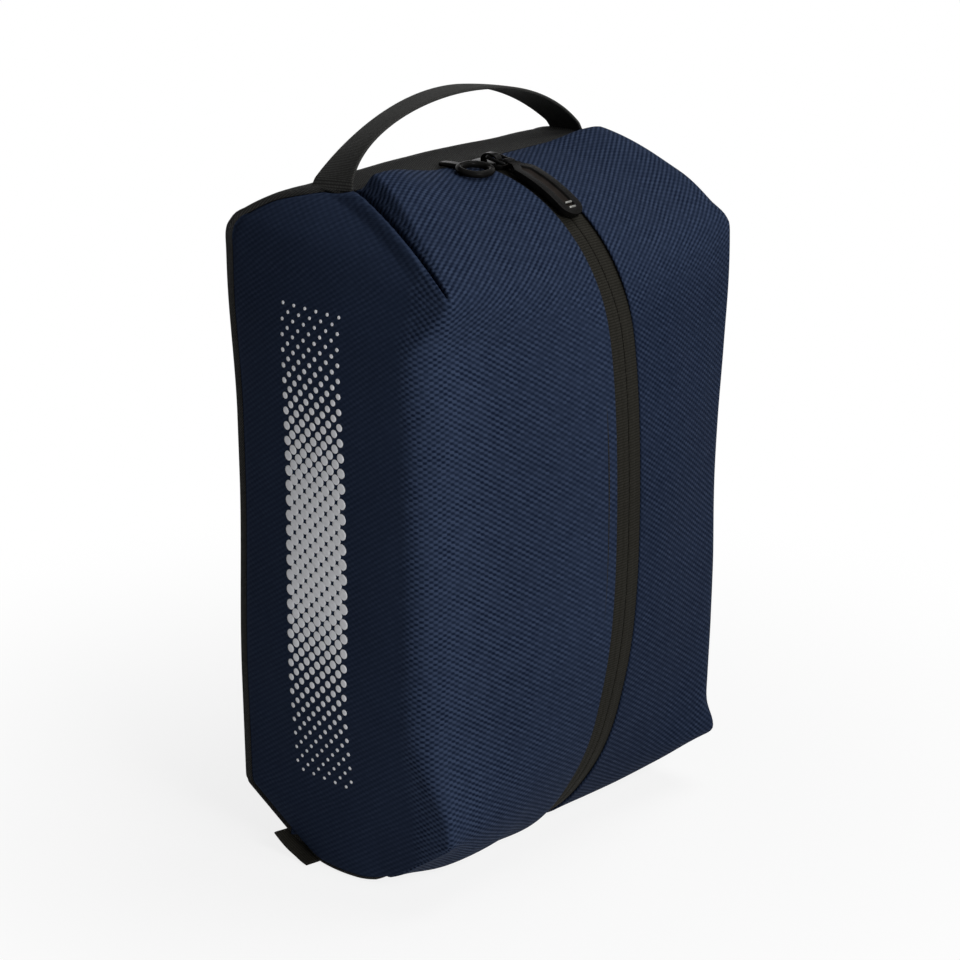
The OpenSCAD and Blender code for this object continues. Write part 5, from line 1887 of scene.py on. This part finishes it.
class BAG_OT_label(bpy.types.Operator):
    """Fold the woven label and sew it into the lower left seam"""

    bl_idname = "bag.side_label"
    bl_label = "Side label"

    def execute(self, context):
        _, trim, form, _ = settings()
        steps = 26
        places = [trim.label_l * i / steps - trim.label_low for i in range(steps + 1)]
        path = np.array([self.seam_at(form, s) for s in places])
        path = eased(rounded_base(form, path), 6)
        along = unit(np.gradient(path, axis=0) * np.array([0, 1, 1]))
        rise = np.stack([np.zeros(steps + 1), -along[:, 2], along[:, 1]], axis=1)
        t = np.arange(steps + 1)[:, None] / steps
        droop = math.radians(4) * smooth(2 * t)
        out = -ACROSS * np.cos(droop) - rise * np.sin(droop)
        up = rise * np.cos(droop) - ACROSS * np.sin(droop)
        fold, hidden = 0.00048, 0.0012
        reach = trim.label_out - fold
        section = [(lerp(-hidden, reach, k / 11), fold) for k in range(12)]
        for k in range(1, 8):
            a = math.pi / 2 - math.pi * k / 8
            section.append((reach + fold * math.cos(a), fold * math.sin(a)))
        section += [(lerp(reach, -hidden, k / 11), -fold) for k in range(12)]
        a, b = np.array(section).T
        outward_share = np.maximum(a, 0) / reach
        curl = 0.0007 * np.sin(math.pi * t) * outward_share**2
        skew = 0.0012 * outward_share
        grid = path[:, None] + along[:, None] * skew[:, None] + out[:, None] * a[:, None]
        grid = grid + up[:, None] * (b - curl)[..., None]
        cloth = paired(trim.label_l * t, (a + b)[None, :])
        piece = self.folded(grid, cloth)
        dress(piece, "bag", ["side_label"])
        return {"FINISHED"}

    def seam_at(self, form, s):
        """Point of the lower left seam at a length up from the base, or forward under it below nought."""
        if s < 0:
            run = np.linalg.norm(form.base_rear - form.base_fore)
            return form.side_point(LAST_ROW, -s / run)
        return form.base_rear + unit(form.back_low - form.base_rear) * s

    def folded(self, grid, cloth):
        """Folded strip with its thickness."""
        faces = grid_faces(*grid.shape[:2])
        verts, uvs = grid.reshape(-1, 3), cloth.reshape(-1, 2)
        piece = mesh_piece("folded_label", verts, faces, uvs, [MATERIALS["label"]])
        pick(piece)
        thick = piece.modifiers.new("Thickness", "SOLIDIFY")
        thick.thickness = 0.0004
        thick.offset = 0.0
        bpy.ops.object.modifier_apply(modifier=thick.name)
        outward(piece)
        soft_edges(piece, 50)
        return piece


class BAG_OT_print(bpy.types.Operator):
    """Press the dotted silver film onto the left side"""

    bl_idname = "bag.side_print"
    bl_label = "Side print"

    def execute(self, context):
        _, trim, _, halves = settings()
        points = halves[LEFT].points[:, : FOLD_COL + 1]
        faces = grid_faces(*points.shape[:2])
        tree = BVHTree.FromPolygons([Vector(p) for p in points.reshape(-1, 3)], faces)
        verts, polys, uvs = [], [], []
        pitch = trim.print_pitch
        count = int((trim.print_high - trim.print_low) / (pitch * 0.5))
        middle = (trim.print_low + trim.print_high) / 2
        reach = (trim.print_high - trim.print_low) / 2
        for k in range(count + 1):
            z = trim.print_low + k * pitch * 0.5
            fade = 1 - abs(z - middle) / reach
            r = pitch * lerp(0.11, 0.37, smooth(fade * 1.15))
            places = (-2, -1, 0, 1, 2) if k % 2 == 0 else (-2.5, -1.5, -0.5, 0.5, 1.5, 2.5)
            for place in places:
                self.dot(tree, trim.print_y + place * pitch, z, r, verts, polys, uvs)
        piece = mesh_piece("side_print", verts, polys, uvs, [MATERIALS["film"]])
        outward(piece)
        soft_edges(piece, 40)
        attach(piece, "bag")
        return {"FINISHED"}

    def dot(self, tree, y, z, r, verts, polys, uvs):
        """One dot of film, with a low rounded rim, laid on the cloth."""
        steps = 18
        film = 0.00022
        rings = ((1.0, -0.0001), (1.0, film * 0.6), (0.9, film), (0.45, film))
        base = len(verts)
        for part, lift in rings:
            for dy, dz in circle_profile(r * part, steps):
                self.place(tree, y + dy, z + dz, lift, verts, uvs)
        self.place(tree, y, z, film, verts, uvs)
        for ring in range(len(rings) - 1):
            for k in range(steps):
                k2 = (k + 1) % steps
                a, b = base + ring * steps, base + (ring + 1) * steps
                polys.append([a + k, b + k, b + k2, a + k2])
        top = base + (len(rings) - 1) * steps
        tip = base + len(rings) * steps
        for k in range(steps):
            polys.append([top + k, tip, top + (k + 1) % steps])
        polys.append([base + k for k in range(steps)])

    def place(self, tree, y, z, lift, verts, uvs):
        """One point on the cloth of the left side, lifted off it."""
        hit, normal, _, _ = tree.ray_cast(Vector((-0.3, y, z)), Vector((1, 0, 0)))
        if hit is None:
            raise RuntimeError("the print lies off the side panel")
        if normal.x > 0:
            normal = -normal
        verts.append(hit + normal * lift)
        uvs.append((-y, z))


PIECES = (
    BAG_OT_stage,
    BAG_OT_halves,
    BAG_OT_black_panels,
    BAG_OT_zip,
    BAG_OT_bindings,
    BAG_OT_handle,
    BAG_OT_slider,
    BAG_OT_puller,
    BAG_OT_loop,
    BAG_OT_label,
    BAG_OT_print,
)


class BAG_PT_panel(bpy.types.Panel):
    """Sidebar panel that lists the pieces and their sizes"""

    bl_idname = "BAG_PT_panel"
    bl_label = "Golf shoe bag"
    bl_space_type = "VIEW_3D"
    bl_region_type = "UI"
    bl_category = "Shoe bag"

    def draw(self, context):
        """List the operators, then the sizes and colours."""
        layout = self.layout
        for piece in PIECES:
            layout.operator(piece.bl_idname)
        for group in (context.scene.bag_sizes, context.scene.trim_sizes, context.scene.bag_colours):
            box = layout.box()
            for key in group.bl_rna.properties.keys():
                if key not in {"rna_type", "name"}:
                    box.prop(group, key)


GROUPS = (BagSizes, TrimSizes, BagColours, StageSettings)
POINTERS = ("bag_sizes", "trim_sizes", "bag_colours", "stage_settings")


def register():
    """Register the classes and hang the settings on the scene."""
    for cls in (*GROUPS, *PIECES, BAG_PT_panel):
        bpy.utils.register_class(cls)
    for key, group in zip(POINTERS, GROUPS):
        setattr(bpy.types.Scene, key, PointerProperty(type=group))


def unregister():
    """Take the settings off the scene and unregister the classes."""
    for key in POINTERS:
        delattr(bpy.types.Scene, key)
    for cls in reversed((*GROUPS, *PIECES, BAG_PT_panel)):
        bpy.utils.unregister_class(cls)


def main():
    """Make every piece in order."""
    register()
    bpy.ops.bag.stage()
    bpy.ops.bag.halves()
    bpy.ops.bag.black_panels()
    bpy.ops.bag.zip()
    bpy.ops.bag.bindings()
    bpy.ops.bag.handle()
    bpy.ops.bag.slider()
    bpy.ops.bag.puller()
    bpy.ops.bag.finger_loop()
    bpy.ops.bag.side_label()
    bpy.ops.bag.side_print()
    pick_nothing()


if __name__ == "__main__":
    main()
